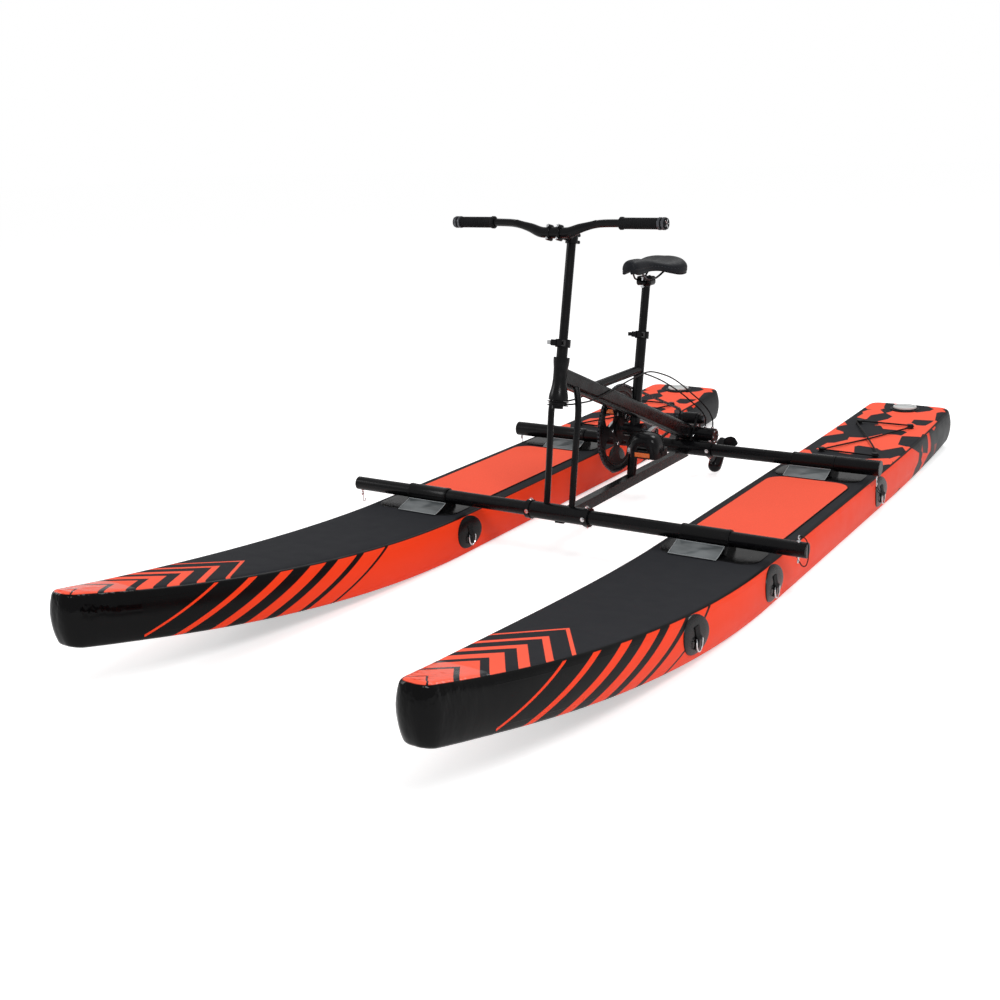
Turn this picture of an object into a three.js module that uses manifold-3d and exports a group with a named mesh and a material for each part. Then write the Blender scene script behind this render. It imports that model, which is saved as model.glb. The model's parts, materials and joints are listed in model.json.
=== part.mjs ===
// Pontoon water bike: two inflatable pontoons, two cross beams, a pedal frame and a tilting drive leg.
// Millimetres. X runs across and port is +X, Y runs from the bow (-Y) to the stern (+Y), and Z is up.
// The origin lies on the surface that the pontoons rest on, under the middle of the hulls.
import * as THREE from 'three';
import { mergeVertices } from 'three/addons/utils/BufferGeometryUtils.js';
import Module from 'manifold-3d';

const wasm = await Module();
wasm.setup();

// Values shared by all pieces
const fitGap = 0.3;
const cutOverrun = 6;
const runningGap = 0.8;
const roundSides = 16;
const smallSides = 8;
const quarterTurn = Math.PI / 2;
const fullTurn = 2 * Math.PI;
const inRadians = Math.PI / 180;

// Pontoons
const hullLength = 3500;
const hullSpacing = 1016;
const hullDepth = 135;
const deckHalfWidth = 175;
const sideBulge = 14;
const tipHalfWidth = 28;
const noseRadius = 24;
const bowTaperLength = 1450;
const bowRockerLength = 1390;
const bowRise = 178;
const bowTaperPower = 2.4;
const bowRockerPower = 1.75;
const tailLength = 950;
const tailRise = 22;
const tailHalfWidth = 160;
const tailCornerRadius = 40;
const noseGuardLength = 170;
const noseGuardWall = 2;

// Ring patches on the pontoons' side walls: height shares follow the hull's depth
const patchRadius = 32;
const patchProud = 4;
const patchHeightShare = 0.55;
const ringRadius = 15;
const ringWire = 2.6;
const bowRingFromFrontBeam = 514;
const frontRingFromFrontBeam = 20;
const rearRingFromRearBeam = 76;

// Inflation valves on the tail decks
const valveFromTail = 100;
const valveSeatRadius = 58;
const valveSeatHeight = 7;
const valveCapRadius = 46;
const valveCapHeight = 9;
const valveGripWidth = 13;

// Deck pads between the beams
const padThickness = 3.5;
const padWidth = 284;
const padCornerRadius = 60;
const padFromFrontBeam = 78;
const padFromRearBeam = 92;

// Cross beams and their centre sleeves
const beamRadius = 22.5;
const beamWall = 2;
const beamHeight = 178;
const frontBeamY = -310;
const rearBeamY = 605;
const frontBeamLength = 1560;
const rearBeamLength = 1425;
const beamPlugThickness = 4;
const sleeveLength = 220;
const sleeveWall = 4.6;
const sleeveRingWidth = 16;
const sleeveRingProud = 3;
const endSleeveLength = 147;
const endSleeveInset = 0.5;

// Saddles that hold a beam on a pontoon's deck
const saddleBaseLength = 276;
const saddleBaseWidth = 112;
const saddleBaseThickness = 3;
const strapWidth = 150;
const strapOffset = 23;
const strapThickness = 3;
const cradleFootWidth = 76;
const flapWidth = 145;
const flapLength = 58;
const flapThickness = 2.4;
const flapInboard = 41;

// Keel rail between the sleeves, and the two front posts
const railWidth = 30;
const railHeight = 34;
const railDrop = 16;
const postRadius = 10;
const postSpacing = 88;
const postLeanDeg = 9;
const postStraight = 345;
const postTopRise = 382;
const postTopBack = 62;

// Steering column, leaning back from the bottom of the head tube
const columnLeanDeg = 12;
const headBaseY = -300;
const headBaseZ = 527;
const headTubeLength = 127;
const headFlareRadius = 30;
const headWaistRadius = 21.5;
const headRingRadius = 25;
const headRingHeight = 16;
const steererRadius = 17;
const steererBelow = 26;
const steererAbove = 53;
const pulleyRadius = 33;
const pulleyThickness = 14;
const pulleyBelow = 3;
const cableRadius = 2.5;
const collarHeight = 24;
const collarWall = 6;
const collarEarReach = 17;
const collarEarWidth = 34;
const collarSlot = 3;
const leverLength = 48;
const leverThickness = 5;
const boltRadius = 3;
const handlePostRadius = 14;
const handlePostLength = 394;
const handlePostInset = 78;
const stemReach = 100;
const stemRadius = 19;
const stemHeight = 36;
const stemArmRadius = 14;
const barRadius = 11.1;
const barLength = 700;
const barRise = 28;
const barFlatHalf = 25;
const barBendHalf = 140;
const barClampWidth = 46;
const barClampWall = 6;
const gripLength = 142;
const gripRadius = 16;
const gripRingRadius = 18;
const gripRingWidth = 12;
const gripEndWall = 4;
const gripSides = 10;

// Main tube, top tube and seat tube
const mainTubeWidth = 44;
const mainTubeHeight = 56;
const mainTubeCorner = 14;
const frameTubeWall = 3;
const mainTubeUpHead = 70;
const mainTubeOverRearBeam = 48;
const topTubeRadius = 14.3;
const topTubeBelowSeatTop = 124;
const topTubeFrontBehindHead = 222;
const seatTubeRadius = 17;
const seatLeanDeg = 11;
const seatTopY = 260;
const seatTopZ = 651;
const seatTubeLength = 262;
const seatPostRadius = 14;
const seatPostAbove = 146;
const seatPostInset = 120;
const clampHeadLength = 62;
const clampHeadWidth = 54;
const clampHeadHeight = 22;

// Saddle and its rails
const saddleLength = 287;
const saddleNoseY = 158;
const saddleHalfWidth = 88;
const saddleNoseHalfWidth = 24;
const saddleTopZ = 884;
const saddleWingDepth = 58;
const saddleNoseDepth = 36;
const undersideShare = 0.55;
const railRadius = 3.5;
const railSpacing = 44;
const railFrontReach = 92;
const railRearReach = 106;
const railRun = 34;

// Bottom bracket, cranks and pedals
const crankY = 202;
const crankZ = 329;
const shellRadius = 23;
const shellLength = 70;
const strutRadius = 16;
const strutFootY = 175;
const spindleRadius = 14.4;
const spindleEndRadius = 8;
const crankLength = 170;
const crankDropDeg = 8;
const portArmX = 65;
const starboardArmX = 74;
const armThickness = 15;
const armRootRadius = 19;
const armTipRadius = 13;
const pedalAxleRadius = 6;
const pedalWidth = 96;
const pedalLength = 96;
const pedalDepth = 24;
const pedalGap = 7;
const pedalRim = 10;
const toeStrapHeight = 74;
const toeStrapWidth = 24;
const toeStrapThickness = 3;

// Chain drive
const chainPitch = 12.7;
const ringTeeth = 72;
const sprocketTeeth = 16;
const chainLineX = -58;
const toothThickness = 3;
const toothDepth = 8;
const toothTopProud = 3;
const plateThickness = 1.3;
const plateGap = 4.4;
const plateHeight = 8.6;
const plateWaist = 6.2;
const spiderHoleRadius = 34;
const spiderHoles = 5;
const spiderHoleCircle = 86;
const hubThickness = 8;

// Drive housing on the rear sleeve, and the tilting leg
const driveY = 662;
const driveZ = 272;
const driveShaftRadius = 8;
const cheekInside = 24;
const cheekThickness = 8;
const cheekRadius = 21;
const cheekWebThickness = 11;
const bossReach = 14;
const bossRadius = 17;
const barrelRadius = 28;
const barrelLength = 68;
const barrelBack = 45;
const barrelRise = 40;
const legAngleDeg = 42;
const legLength = 320;
const legRadius = 16;
const legUpperLength = 196;
const kneeRadius = 23;
const flangeRadius = 22;
const flangeThickness = 8;
const finChord = 62;
const finThickness = 20;
const podRadius = 27;
const podNose = 50;
const podTail = 58;
const propellerRadius = 85;
const propellerHubRadius = 19;
const propellerHubLength = 40;
const bladeCount = 3;
const bladeRootWidth = 30;
const bladeTipWidth = 46;
const bladeThickness = 4;
const bladePitchDeg = 34;

// Bungee cords crossed on the tail decks
const bungeeRadius = 4;
const bungeeHalfWidth = 98;
const bungeeFromTail = 385;
const bungeeBehindRearBeam = 300;
const bungeeKnobRadius = 11;
const bungeeKnobHeight = 16;

// Places worked out from the sizes above
const halfLength = hullLength / 2;
const noseEnd = -halfLength + sideBulge + fitGap + noseGuardWall;
const tailEnd = halfLength - sideBulge;
const sleeveRadius = beamRadius + sleeveWall;
const railZ = beamHeight - railDrop;
const chainringRadius = chainPitch / (2 * Math.sin(Math.PI / ringTeeth));
const sprocketRadius = chainPitch / (2 * Math.sin(Math.PI / sprocketTeeth));
const legTurn = quarterTurn - legAngleDeg * inRadians;
const topTubeHeight = seatTopZ - topTubeBelowSeatTop;
const topTubeFrontY = headBaseY + topTubeFrontBehindHead;

// Finishes
const finish = (color, roughness, metalness = 0) =>
  new THREE.MeshStandardMaterial({ color, roughness, metalness });
const orangeSkin = finish(0xfa5532, 0.55);
const blackSkin = finish(0x101012, 0.3);
const padFoam = finish(0xff6e50, 0.8);
const blackPaint = finish(0x17181a, 0.4, 0.3);
const blackWebbing = finish(0x141416, 0.85);
const blackPlastic = finish(0x1a1b1d, 0.5);
const blackRubber = finish(0x121213, 0.75);
const paleCap = finish(0xc9cbcc, 0.5);
const silverAlloy = finish(0xc6c8ca, 0.3, 0.9);
const darkSteel = finish(0x3a3c40, 0.35, 0.9);
const saddleCover = finish(0x1b1c1f, 0.6);

// Small helpers for places and closed shapes
const at = (x, y, z) => new THREE.Vector3(x, y, z);
const upward = at(0, 0, 1);

function signedVolume(geometry) {
  const place = geometry.getAttribute('position');
  const corner = (slot) => at(0, 0, 0).fromBufferAttribute(place, geometry.index.getX(slot));
  let volume = 0;
  for (let slot = 0; slot < geometry.index.count; slot += 3) {
    volume += corner(slot).dot(corner(slot + 1).cross(corner(slot + 2)));
  }
  return volume;
}

// One closed skin: shared corners merged, slivers without area dropped, faces turned outwards
function weld(geometry) {
  const bare = new THREE.BufferGeometry();
  bare.setAttribute('position', geometry.getAttribute('position'));
  bare.setIndex(geometry.index);
  const welded = mergeVertices(bare);
  const corners = Array.from(welded.index.array);
  const kept = [];
  for (let slot = 0; slot < corners.length; slot += 3) {
    const [a, b, c] = corners.slice(slot, slot + 3);
    if (a !== b && b !== c && c !== a) kept.push(a, b, c);
  }
  welded.setIndex(kept);
  if (signedVolume(welded) < 0) welded.setIndex(kept.reverse());
  return welded;
}

function toSolid(geometry) {
  const skin = weld(geometry);
  const vertProperties = Float32Array.from(skin.getAttribute('position').array);
  const triVerts = Uint32Array.from(skin.index.array);
  return new wasm.Manifold(new wasm.Mesh({ numProp: 3, vertProperties, triVerts }));
}

function toGeometry(solid) {
  const mesh = solid.getMesh();
  const geometry = new THREE.BufferGeometry();
  geometry.setAttribute('position', new THREE.BufferAttribute(Float32Array.from(mesh.vertProperties), 3));
  geometry.setIndex(Array.from(mesh.triVerts));
  return geometry;
}

const join = (...shapes) => toGeometry(shapes.map(toSolid).reduce((whole, next) => whole.add(next)));
const cut = (shape, ...tools) =>
  toGeometry(tools.map(toSolid).reduce((rest, tool) => rest.subtract(tool), toSolid(shape)));
const common = (shape, limit) => toGeometry(toSolid(shape).intersect(toSolid(limit)));

// Shapes that stand on the origin along +Z
const cylinder = (radius, length, sides = roundSides, topRadius = radius) =>
  new THREE.CylinderGeometry(topRadius, radius, length, sides)
    .rotateX(quarterTurn)
    .translate(0, 0, length / 2);

function revolve(profile, sides = roundSides) {
  const outline = profile.map(([radius, height]) => new THREE.Vector2(radius, height));
  return new THREE.LatheGeometry(outline, sides).rotateX(quarterTurn);
}

function pipe(outerRadius, innerRadius, length, sides = roundSides) {
  const corners = [[innerRadius, 0], [outerRadius, 0], [outerRadius, length], [innerRadius, length]];
  return revolve([...corners, corners[0]], sides);
}

// Corner radius of a faceted hole whose flats clear a shaft
const bored = (radius, gap = fitGap, sides = roundSides) => (radius + gap) / Math.cos(Math.PI / sides);
const hole = (radius, length, gap = fitGap, sides = roundSides) =>
  cylinder(bored(radius, gap, sides), length, sides);

const box = (width, depth, height) => new THREE.BoxGeometry(width, depth, height).translate(0, 0, height / 2);

function prism(corners, height) {
  const outline = new THREE.Shape(corners.map(([x, y]) => new THREE.Vector2(x, y)));
  return new THREE.ExtrudeGeometry(outline, { depth: height, bevelEnabled: false });
}

function roundedPlate(width, depth, radius, height, curveSegments = 3) {
  const right = width / 2;
  const back = depth / 2;
  const outline = new THREE.Shape();
  outline.absarc(right - radius, back - radius, radius, 0, quarterTurn);
  outline.absarc(radius - right, back - radius, radius, quarterTurn, 2 * quarterTurn);
  outline.absarc(radius - right, radius - back, radius, 2 * quarterTurn, 3 * quarterTurn);
  outline.absarc(right - radius, radius - back, radius, 3 * quarterTurn, fullTurn);
  return new THREE.ExtrudeGeometry(outline, { depth: height, bevelEnabled: false, curveSegments });
}

// Turns for shapes that stand along +Z
const alongX = (shape, start = 0) => shape.rotateY(quarterTurn).translate(start, 0, 0);
const alongY = (shape, start = 0) => shape.rotateX(-quarterTurn).translate(0, start, 0);

function alongLine(shape, from, to) {
  const heading = to.clone().sub(from).normalize();
  shape.applyQuaternion(new THREE.Quaternion().setFromUnitVectors(upward, heading));
  return shape.translate(from.x, from.y, from.z);
}

const rod = (from, to, radius, sides) => alongLine(cylinder(radius, from.distanceTo(to), sides), from, to);

// A plate in the YZ plane, from its outline in [y, z], standing along +X from a start
function sidePlate(corners, start, thickness) {
  const shape = prism(corners, thickness);
  shape.applyMatrix4(new THREE.Matrix4().makeBasis(at(0, 1, 0), at(0, 0, 1), at(1, 0, 0)));
  return shape.translate(start, 0, 0);
}

function sweep(points, radius, sides, steps) {
  const section = new THREE.Shape();
  section.absarc(0, 0, radius, 0, fullTurn);
  const curve = new THREE.CatmullRomCurve3(points, false, 'centripetal');
  const settings = { steps, extrudePath: curve, curveSegments: sides, bevelEnabled: false };
  return new THREE.ExtrudeGeometry(section, settings);
}

// A skin over rings of points that all have the same count, closed at both ends
function loft(rings) {
  const count = rings[0].length;
  const places = rings.flat().flatMap((place) => [place.x, place.y, place.z]);
  const faces = [];
  for (let ring = 0; ring + 1 < rings.length; ring += 1) {
    for (let slot = 0; slot < count; slot += 1) {
      const a = ring * count + slot;
      const b = ring * count + ((slot + 1) % count);
      faces.push(a, b, b + count, a, b + count, a + count);
    }
  }
  const last = (rings.length - 1) * count;
  for (let slot = 1; slot + 1 < count; slot += 1) {
    faces.push(0, slot + 1, slot, last, last + slot, last + slot + 1);
  }
  const geometry = new THREE.BufferGeometry();
  geometry.setAttribute('position', new THREE.Float32BufferAttribute(places, 3));
  geometry.setIndex(faces);
  return geometry;
}

function addPiece(group, name, geometry, material) {
  const mesh = new THREE.Mesh(weld(geometry), material);
  mesh.geometry.computeVertexNormals();
  mesh.name = name;
  group.add(mesh);
}

const bike = new THREE.Group();
const sides = [{ name: 'port', sign: 1 }, { name: 'starboard', sign: -1 }];

// Pontoon form: a plan outline that tapers to the bow, and a rise of bow and tail
const bowShare = (y, reach) => Math.max(0, (reach - halfLength - y) / reach);
const tailShare = (y, reach) => Math.max(0, (y - halfLength + reach) / reach);

function hullHalfWidth(y) {
  const bowLoss = (deckHalfWidth - tipHalfWidth) * bowShare(y, bowTaperLength) ** bowTaperPower;
  const tailLoss = (deckHalfWidth - tailHalfWidth) * tailShare(y, tailLength) ** 2;
  return deckHalfWidth - bowLoss - tailLoss;
}

const hullRise = (y) => bowRise * bowShare(y, bowRockerLength) ** bowRockerPower
  + tailRise * tailShare(y, tailLength) ** 2;
const deckHeight = (y) => hullRise(y) + hullDepth;

function hullPlan() {
  const cornerSteps = 3;
  const bowSteps = 14;
  const middleSteps = 2;
  const tailSteps = 5;
  const half = [];
  for (let step = 0; step < cornerSteps; step += 1) {
    const turn = (step / cornerSteps) * quarterTurn;
    const y = noseEnd + noseRadius * (1 - Math.cos(turn));
    half.push([hullHalfWidth(y) - noseRadius * (1 - Math.sin(turn)), y]);
  }
  const bowEnd = Math.max(bowTaperLength, bowRockerLength) - halfLength;
  const stretches = [
    [noseEnd + noseRadius, bowEnd, bowSteps],
    [bowEnd, halfLength - tailLength, middleSteps],
    [halfLength - tailLength, tailEnd - tailCornerRadius, tailSteps],
  ];
  for (const [from, to, steps] of stretches) {
    for (let step = 0; step < steps; step += 1) {
      const y = from + ((to - from) * step) / steps;
      half.push([hullHalfWidth(y), y]);
    }
  }
  for (let step = 0; step <= cornerSteps; step += 1) {
    const turn = (step / cornerSteps) * quarterTurn;
    const y = tailEnd - tailCornerRadius * (1 - Math.sin(turn));
    half.push([hullHalfWidth(y) - tailCornerRadius * (1 - Math.cos(turn)), y]);
  }
  return half;
}

// The pontoon's skin, grown outwards by a few millimetres for what wraps round it
function hullShape(grow) {
  const wallSteps = 5;
  const half = hullPlan();
  const loop = [...half, ...half.slice().reverse().map(([x, y]) => [-x, y])];
  const count = loop.length;
  const places = [];
  for (let level = 0; level <= wallSteps; level += 1) {
    const share = level / wallSteps;
    const reach = grow + 4 * sideBulge * share * (1 - share);
    for (let slot = 0; slot < count; slot += 1) {
      const [x, y] = loop[slot];
      const [backX, backY] = loop[(slot + count - 1) % count];
      const [nextX, nextY] = loop[(slot + 1) % count];
      const run = Math.hypot(nextX - backX, nextY - backY);
      const z = hullRise(y) - grow + share * (hullDepth + 2 * grow);
      places.push(x + (reach * (nextY - backY)) / run, y - (reach * (nextX - backX)) / run, z);
    }
  }
  const faces = [];
  const quad = (a, b, c, d) => faces.push(a, b, c, a, c, d);
  for (let level = 0; level < wallSteps; level += 1) {
    for (let slot = 0; slot < count; slot += 1) {
      const a = level * count + slot;
      const b = level * count + ((slot + 1) % count);
      quad(a, b, b + count, a + count);
    }
  }
  const deck = wallSteps * count;
  for (let slot = 0; slot + 1 < half.length; slot += 1) {
    const across = count - 1 - slot;
    quad(deck + slot, deck + slot + 1, deck + across - 1, deck + across);
    quad(across, across - 1, slot + 1, slot);
  }
  const geometry = new THREE.BufferGeometry();
  geometry.setAttribute('position', new THREE.Float32BufferAttribute(places, 3));
  geometry.setIndex(faces);
  return geometry;
}

// A round patch on a side wall with its lifting ring; facing is the side of the pontoon, +1 or -1 in x
function ringPatch(y, facing) {
  const wall = hullHalfWidth(y) + 4 * sideBulge * patchHeightShare * (1 - patchHeightShare);
  const z = hullRise(y) + hullDepth * patchHeightShare;
  const outer = wall + patchProud;
  const depth = 3 * patchProud;
  const patch = alongX(cylinder(patchRadius, depth, smallSides, patchRadius - patchProud), outer - depth);
  const ring = new THREE.TorusGeometry(ringRadius, ringWire, 3, 8).rotateY(quarterTurn);
  ring.translate(outer + ringWire / 2, 0, -ringRadius / 2);
  const shape = join(patch, ring);
  if (facing < 0) shape.rotateZ(Math.PI);
  return shape.translate(0, y, z);
}

const valveY = halfLength - valveFromTail;
const valveBase = deckHeight(valveY) + valveSeatHeight;

// A pontoon with its valve seat, two outer rings ahead of the beams, one behind and two inner rings
function pontoon(sign) {
  const seatDepth = 3 * valveSeatHeight;
  const seat = cylinder(valveSeatRadius, seatDepth, roundSides, valveSeatRadius - valveSeatHeight / 2);
  seat.translate(0, valveY, valveBase - seatDepth);
  const places = [
    [frontBeamY - bowRingFromFrontBeam, 1],
    [frontBeamY - frontRingFromFrontBeam, 1],
    [rearBeamY + rearRingFromRearBeam, 1],
    [frontBeamY - frontRingFromFrontBeam, -1],
    [rearBeamY + rearRingFromRearBeam, -1],
  ];
  return join(hullShape(0), seat, ...places.map(([y, facing]) => ringPatch(y, facing * sign)));
}

function noseGuard() {
  const skin = cut(hullShape(fitGap + noseGuardWall), hullShape(fitGap));
  const reach = noseGuardLength + cutOverrun;
  const window = box(hullSpacing, reach, hullLength);
  return common(skin, window.translate(0, noseEnd - cutOverrun + reach / 2 - sideBulge, 0));
}

function valveCap() {
  const disc = cylinder(valveCapRadius, valveCapHeight, roundSides, valveCapRadius - valveCapHeight / 3);
  const grip = box(2 * valveCapRadius - valveCapHeight, valveGripWidth, valveCapHeight / 2);
  const cap = join(disc, grip.translate(0, 0, valveCapHeight - fitGap));
  return cap.translate(0, valveY, valveBase + fitGap);
}

function deckPad() {
  const front = frontBeamY + padFromFrontBeam;
  const back = rearBeamY - padFromRearBeam;
  const pad = roundedPlate(padWidth, back - front, padCornerRadius, padThickness);
  return pad.translate(0, (front + back) / 2, Math.max(deckHeight(front), deckHeight(back)) + fitGap);
}

// A base on the deck, a cradle under the beam, a strap round it and a flap in front, towards the middle
function beamSaddle(beamY, inboard) {
  const footHalf = cradleFootWidth / 2;
  const deck = Math.max(deckHeight(beamY - footHalf), deckHeight(beamY + footHalf));
  const base = roundedPlate(saddleBaseLength, saddleBaseWidth, saddleBaseWidth / 4, saddleBaseThickness, 1);
  base.translate(0, beamY, deck + fitGap);
  const foot = deck + fitGap + saddleBaseThickness / 2;
  const strapStart = inboard * strapOffset - strapWidth / 2;
  const outside = bored(beamRadius) + strapThickness;
  const cradle = sidePlate([
    [beamY - footHalf, foot],
    [beamY + footHalf, foot],
    [beamY + outside * Math.SQRT1_2, beamHeight - outside * Math.SQRT1_2],
    [beamY - outside * Math.SQRT1_2, beamHeight - outside * Math.SQRT1_2],
  ], strapStart, strapWidth);
  const strap = alongX(cylinder(outside, strapWidth), strapStart).translate(0, beamY, beamHeight);
  const grip = outside - strapThickness / 2;
  const flapBack = beamY - grip * Math.cos(quarterTurn / 3);
  const flapTop = beamHeight - grip * Math.sin(quarterTurn / 3);
  const flap = sidePlate([
    [flapBack, flapTop - flapThickness],
    [flapBack, flapTop],
    [flapBack - flapLength, foot + flapThickness],
    [flapBack - flapLength, foot],
  ], inboard * flapInboard - flapWidth / 2, flapWidth);
  const beam = alongX(hole(beamRadius, saddleBaseLength), -saddleBaseLength / 2);
  return cut(join(base, cradle, strap, flap), beam.translate(0, beamY, beamHeight));
}

// Bungee cords: a cross between four knobs on the tail deck
function bungeeCross() {
  const back = halfLength - bungeeFromTail;
  const front = rearBeamY + bungeeBehindRearBeam;
  const cordHeight = (y) => deckHeight(y) + bungeeKnobHeight - bungeeRadius;
  const knobs = [];
  const cords = [];
  for (const sign of [1, -1]) {
    for (const y of [front, back]) {
      const knob = cylinder(bungeeKnobRadius, bungeeKnobHeight, 6, bungeeKnobRadius / 2);
      knobs.push(knob.translate(sign * bungeeHalfWidth, y, deckHeight(y + bungeeKnobRadius) + fitGap));
    }
    const from = at(sign * bungeeHalfWidth, front, cordHeight(front));
    const to = at(-sign * bungeeHalfWidth, back, cordHeight(back));
    cords.push(rod(from, to, bungeeRadius, 6));
  }
  return join(...knobs, ...cords);
}

for (const side of sides) {
  const hull = new THREE.Group();
  hull.position.x = (side.sign * hullSpacing) / 2;
  addPiece(hull, `${side.name}_pontoon`, pontoon(side.sign), orangeSkin);
  addPiece(hull, `${side.name}_nose_guard`, noseGuard(), blackSkin);
  addPiece(hull, `${side.name}_valve_cap`, valveCap(), paleCap);
  addPiece(hull, `${side.name}_deck_pad`, deckPad(), padFoam);
  addPiece(hull, `${side.name}_front_beam_saddle`, beamSaddle(frontBeamY, -side.sign), blackWebbing);
  addPiece(hull, `${side.name}_rear_beam_saddle`, beamSaddle(rearBeamY, -side.sign), blackWebbing);
  addPiece(hull, `${side.name}_bungee`, bungeeCross(), blackRubber);
  bike.add(hull);
}

// Cross beams: each half is a tube with a plug at its outer end, pushed into the centre sleeve
function beamHalf(length, thickEnd) {
  const start = fitGap / 2;
  const end = length / 2;
  const bore = beamRadius - beamWall;
  const outline = [[bore, start], [beamRadius, start]];
  if (thickEnd) {
    const ringStart = end - endSleeveLength - sleeveRingProud;
    outline.push([beamRadius, ringStart], [sleeveRadius, ringStart], [sleeveRadius, end - endSleeveInset]);
  }
  outline.push([beamRadius, thickEnd ? end - endSleeveInset : end], [beamRadius, end], [0, end]);
  outline.push([0, end - beamPlugThickness], [bore, end - beamPlugThickness], [bore, start]);
  return revolve(outline);
}

function sleeve(beamY) {
  const bore = bored(beamRadius);
  const ringOut = sleeveRadius + sleeveRingProud;
  const profile = [
    [bore, 0],
    [ringOut, 0],
    [ringOut, sleeveRingWidth],
    [sleeveRadius, sleeveRingWidth],
    [sleeveRadius, sleeveLength - sleeveRingWidth],
    [ringOut, sleeveLength - sleeveRingWidth],
    [ringOut, sleeveLength],
    [bore, sleeveLength],
    [bore, 0],
  ];
  return alongX(revolve(profile), -sleeveLength / 2).translate(0, beamY, beamHeight);
}

const sleeveRoom = (beamY) =>
  alongX(hole(sleeveRadius, sleeveLength), -sleeveLength / 2).translate(0, beamY, beamHeight);

for (const side of sides) {
  const turn = side.sign > 0 ? (shape) => alongX(shape) : (shape) => alongX(shape).rotateZ(Math.PI);
  const front = turn(beamHalf(frontBeamLength, false)).translate(0, frontBeamY, beamHeight);
  const rear = turn(beamHalf(rearBeamLength, true)).translate(0, rearBeamY, beamHeight);
  addPiece(bike, `front_beam_${side.name}_tube`, front, blackPaint);
  addPiece(bike, `rear_beam_${side.name}_tube`, rear, blackPaint);
}
addPiece(bike, 'front_beam_sleeve', sleeve(frontBeamY), blackPaint);
addPiece(bike, 'rear_beam_sleeve', sleeve(rearBeamY), blackPaint);

function keelRail() {
  const length = rearBeamY - frontBeamY;
  const bar = box(railWidth, length, railHeight);
  bar.translate(0, (rearBeamY + frontBeamY) / 2, railZ - railHeight / 2);
  const walls = 2 * frameTubeWall;
  const inside = box(railWidth - walls, length + 2 * cutOverrun, railHeight - walls);
  inside.translate(0, (rearBeamY + frontBeamY) / 2, railZ - railHeight / 2 + frameTubeWall);
  return cut(bar, inside, sleeveRoom(frontBeamY), sleeveRoom(rearBeamY));
}

// Steering column frame: its origin is the bottom of the head tube and +Z runs up the column
const column = new THREE.Group();
column.position.set(0, headBaseY, headBaseZ);
column.rotation.x = -columnLeanDeg * inRadians;
column.updateMatrix();
const inColumn = (shape) => shape.applyMatrix4(column.matrix);
const steererBore = bored(steererRadius);

function headProfile(grow) {
  const top = headTubeLength - headRingHeight;
  return [
    [headFlareRadius + grow, 0],
    [headFlareRadius + grow, headRingHeight],
    [headWaistRadius + grow, headTubeLength / 3],
    [headWaistRadius + grow, top - headRingHeight],
    [headRingRadius + grow, top],
    [headRingRadius + grow, headTubeLength],
  ];
}

const headBore = [[steererBore, headTubeLength], [steererBore, 0]];
const headTube = revolve([[steererBore, 0], ...headProfile(0), ...headBore]);
const headRoom = inColumn(revolve([[0, 0], ...headProfile(fitGap), [0, headTubeLength]]));

// Main tube from the head tube down to the rear sleeve
const headAxisPoint = (up) => at(0, 0, up).applyMatrix4(column.matrix);
const mainFront = headAxisPoint(mainTubeUpHead);
const mainRear = at(0, rearBeamY + sleeveRadius, beamHeight + mainTubeOverRearBeam);
const mainSlope = (mainRear.z - mainFront.z) / (mainRear.y - mainFront.y);
const mainAxisHeight = (y) => mainFront.z + mainSlope * (y - mainFront.y);

function mainTubeShape(grow) {
  const length = mainFront.distanceTo(mainRear);
  const corner = mainTubeCorner + grow;
  const overrun = Math.abs(grow);
  const width = mainTubeWidth + 2 * grow;
  const bar = roundedPlate(width, mainTubeHeight + 2 * grow, corner, length + 2 * overrun, 2);
  return alongLine(bar.translate(0, 0, -overrun), mainFront, mainRear);
}

const mainTube = cut(mainTubeShape(0), mainTubeShape(-frameTubeWall), headRoom, sleeveRoom(rearBeamY));

// Seat tube frame: its origin is the top of the seat tube and +Z runs up the tube
const seat = new THREE.Group();
seat.position.set(0, seatTopY, seatTopZ);
seat.rotation.x = -seatLeanDeg * inRadians;
seat.updateMatrix();
const inSeat = (shape) => shape.applyMatrix4(seat.matrix);
const seatBore = bored(seatPostRadius);
const seatAxisY = (z) => seatTopY + (z - seatTopZ) * Math.tan(seatLeanDeg * inRadians);

function seatTubeShape() {
  const tube = inSeat(pipe(seatTubeRadius, seatBore, seatTubeLength).translate(0, 0, -seatTubeLength));
  return cut(tube, mainTubeShape(fitGap));
}

function topTubeShape() {
  const front = at(0, topTubeFrontY, topTubeHeight);
  const tube = rod(front, at(0, seatAxisY(topTubeHeight), topTubeHeight), topTubeRadius);
  const seatRoom = inSeat(hole(seatTubeRadius, seatTubeLength).translate(0, 0, -seatTubeLength));
  return cut(tube, mainTubeShape(fitGap), seatRoom);
}

// Bottom bracket shell, hung below the main tube and braced down to the keel rail
function bracketStrut() {
  const shell = alongX(cylinder(shellRadius, shellLength), -shellLength / 2).translate(0, crankY, crankZ);
  const axis = at(0, crankY, crankZ);
  const top = mainAxisHeight(crankY);
  const upper = rod(axis, at(0, seatAxisY(top), top), seatTubeRadius);
  const lower = rod(axis, at(0, strutFootY, railZ), strutRadius);
  const bore = alongX(hole(spindleRadius, 2 * shellLength, runningGap), -shellLength);
  const railRoom = box(railWidth + 2 * strutRadius, rearBeamY - frontBeamY, railHeight);
  railRoom.translate(0, (rearBeamY + frontBeamY) / 2, railZ - railHeight / 2 + fitGap);
  const whole = join(shell, upper, lower);
  return cut(whole, bore.translate(0, crankY, crankZ), mainTubeShape(fitGap), railRoom);
}

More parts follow.
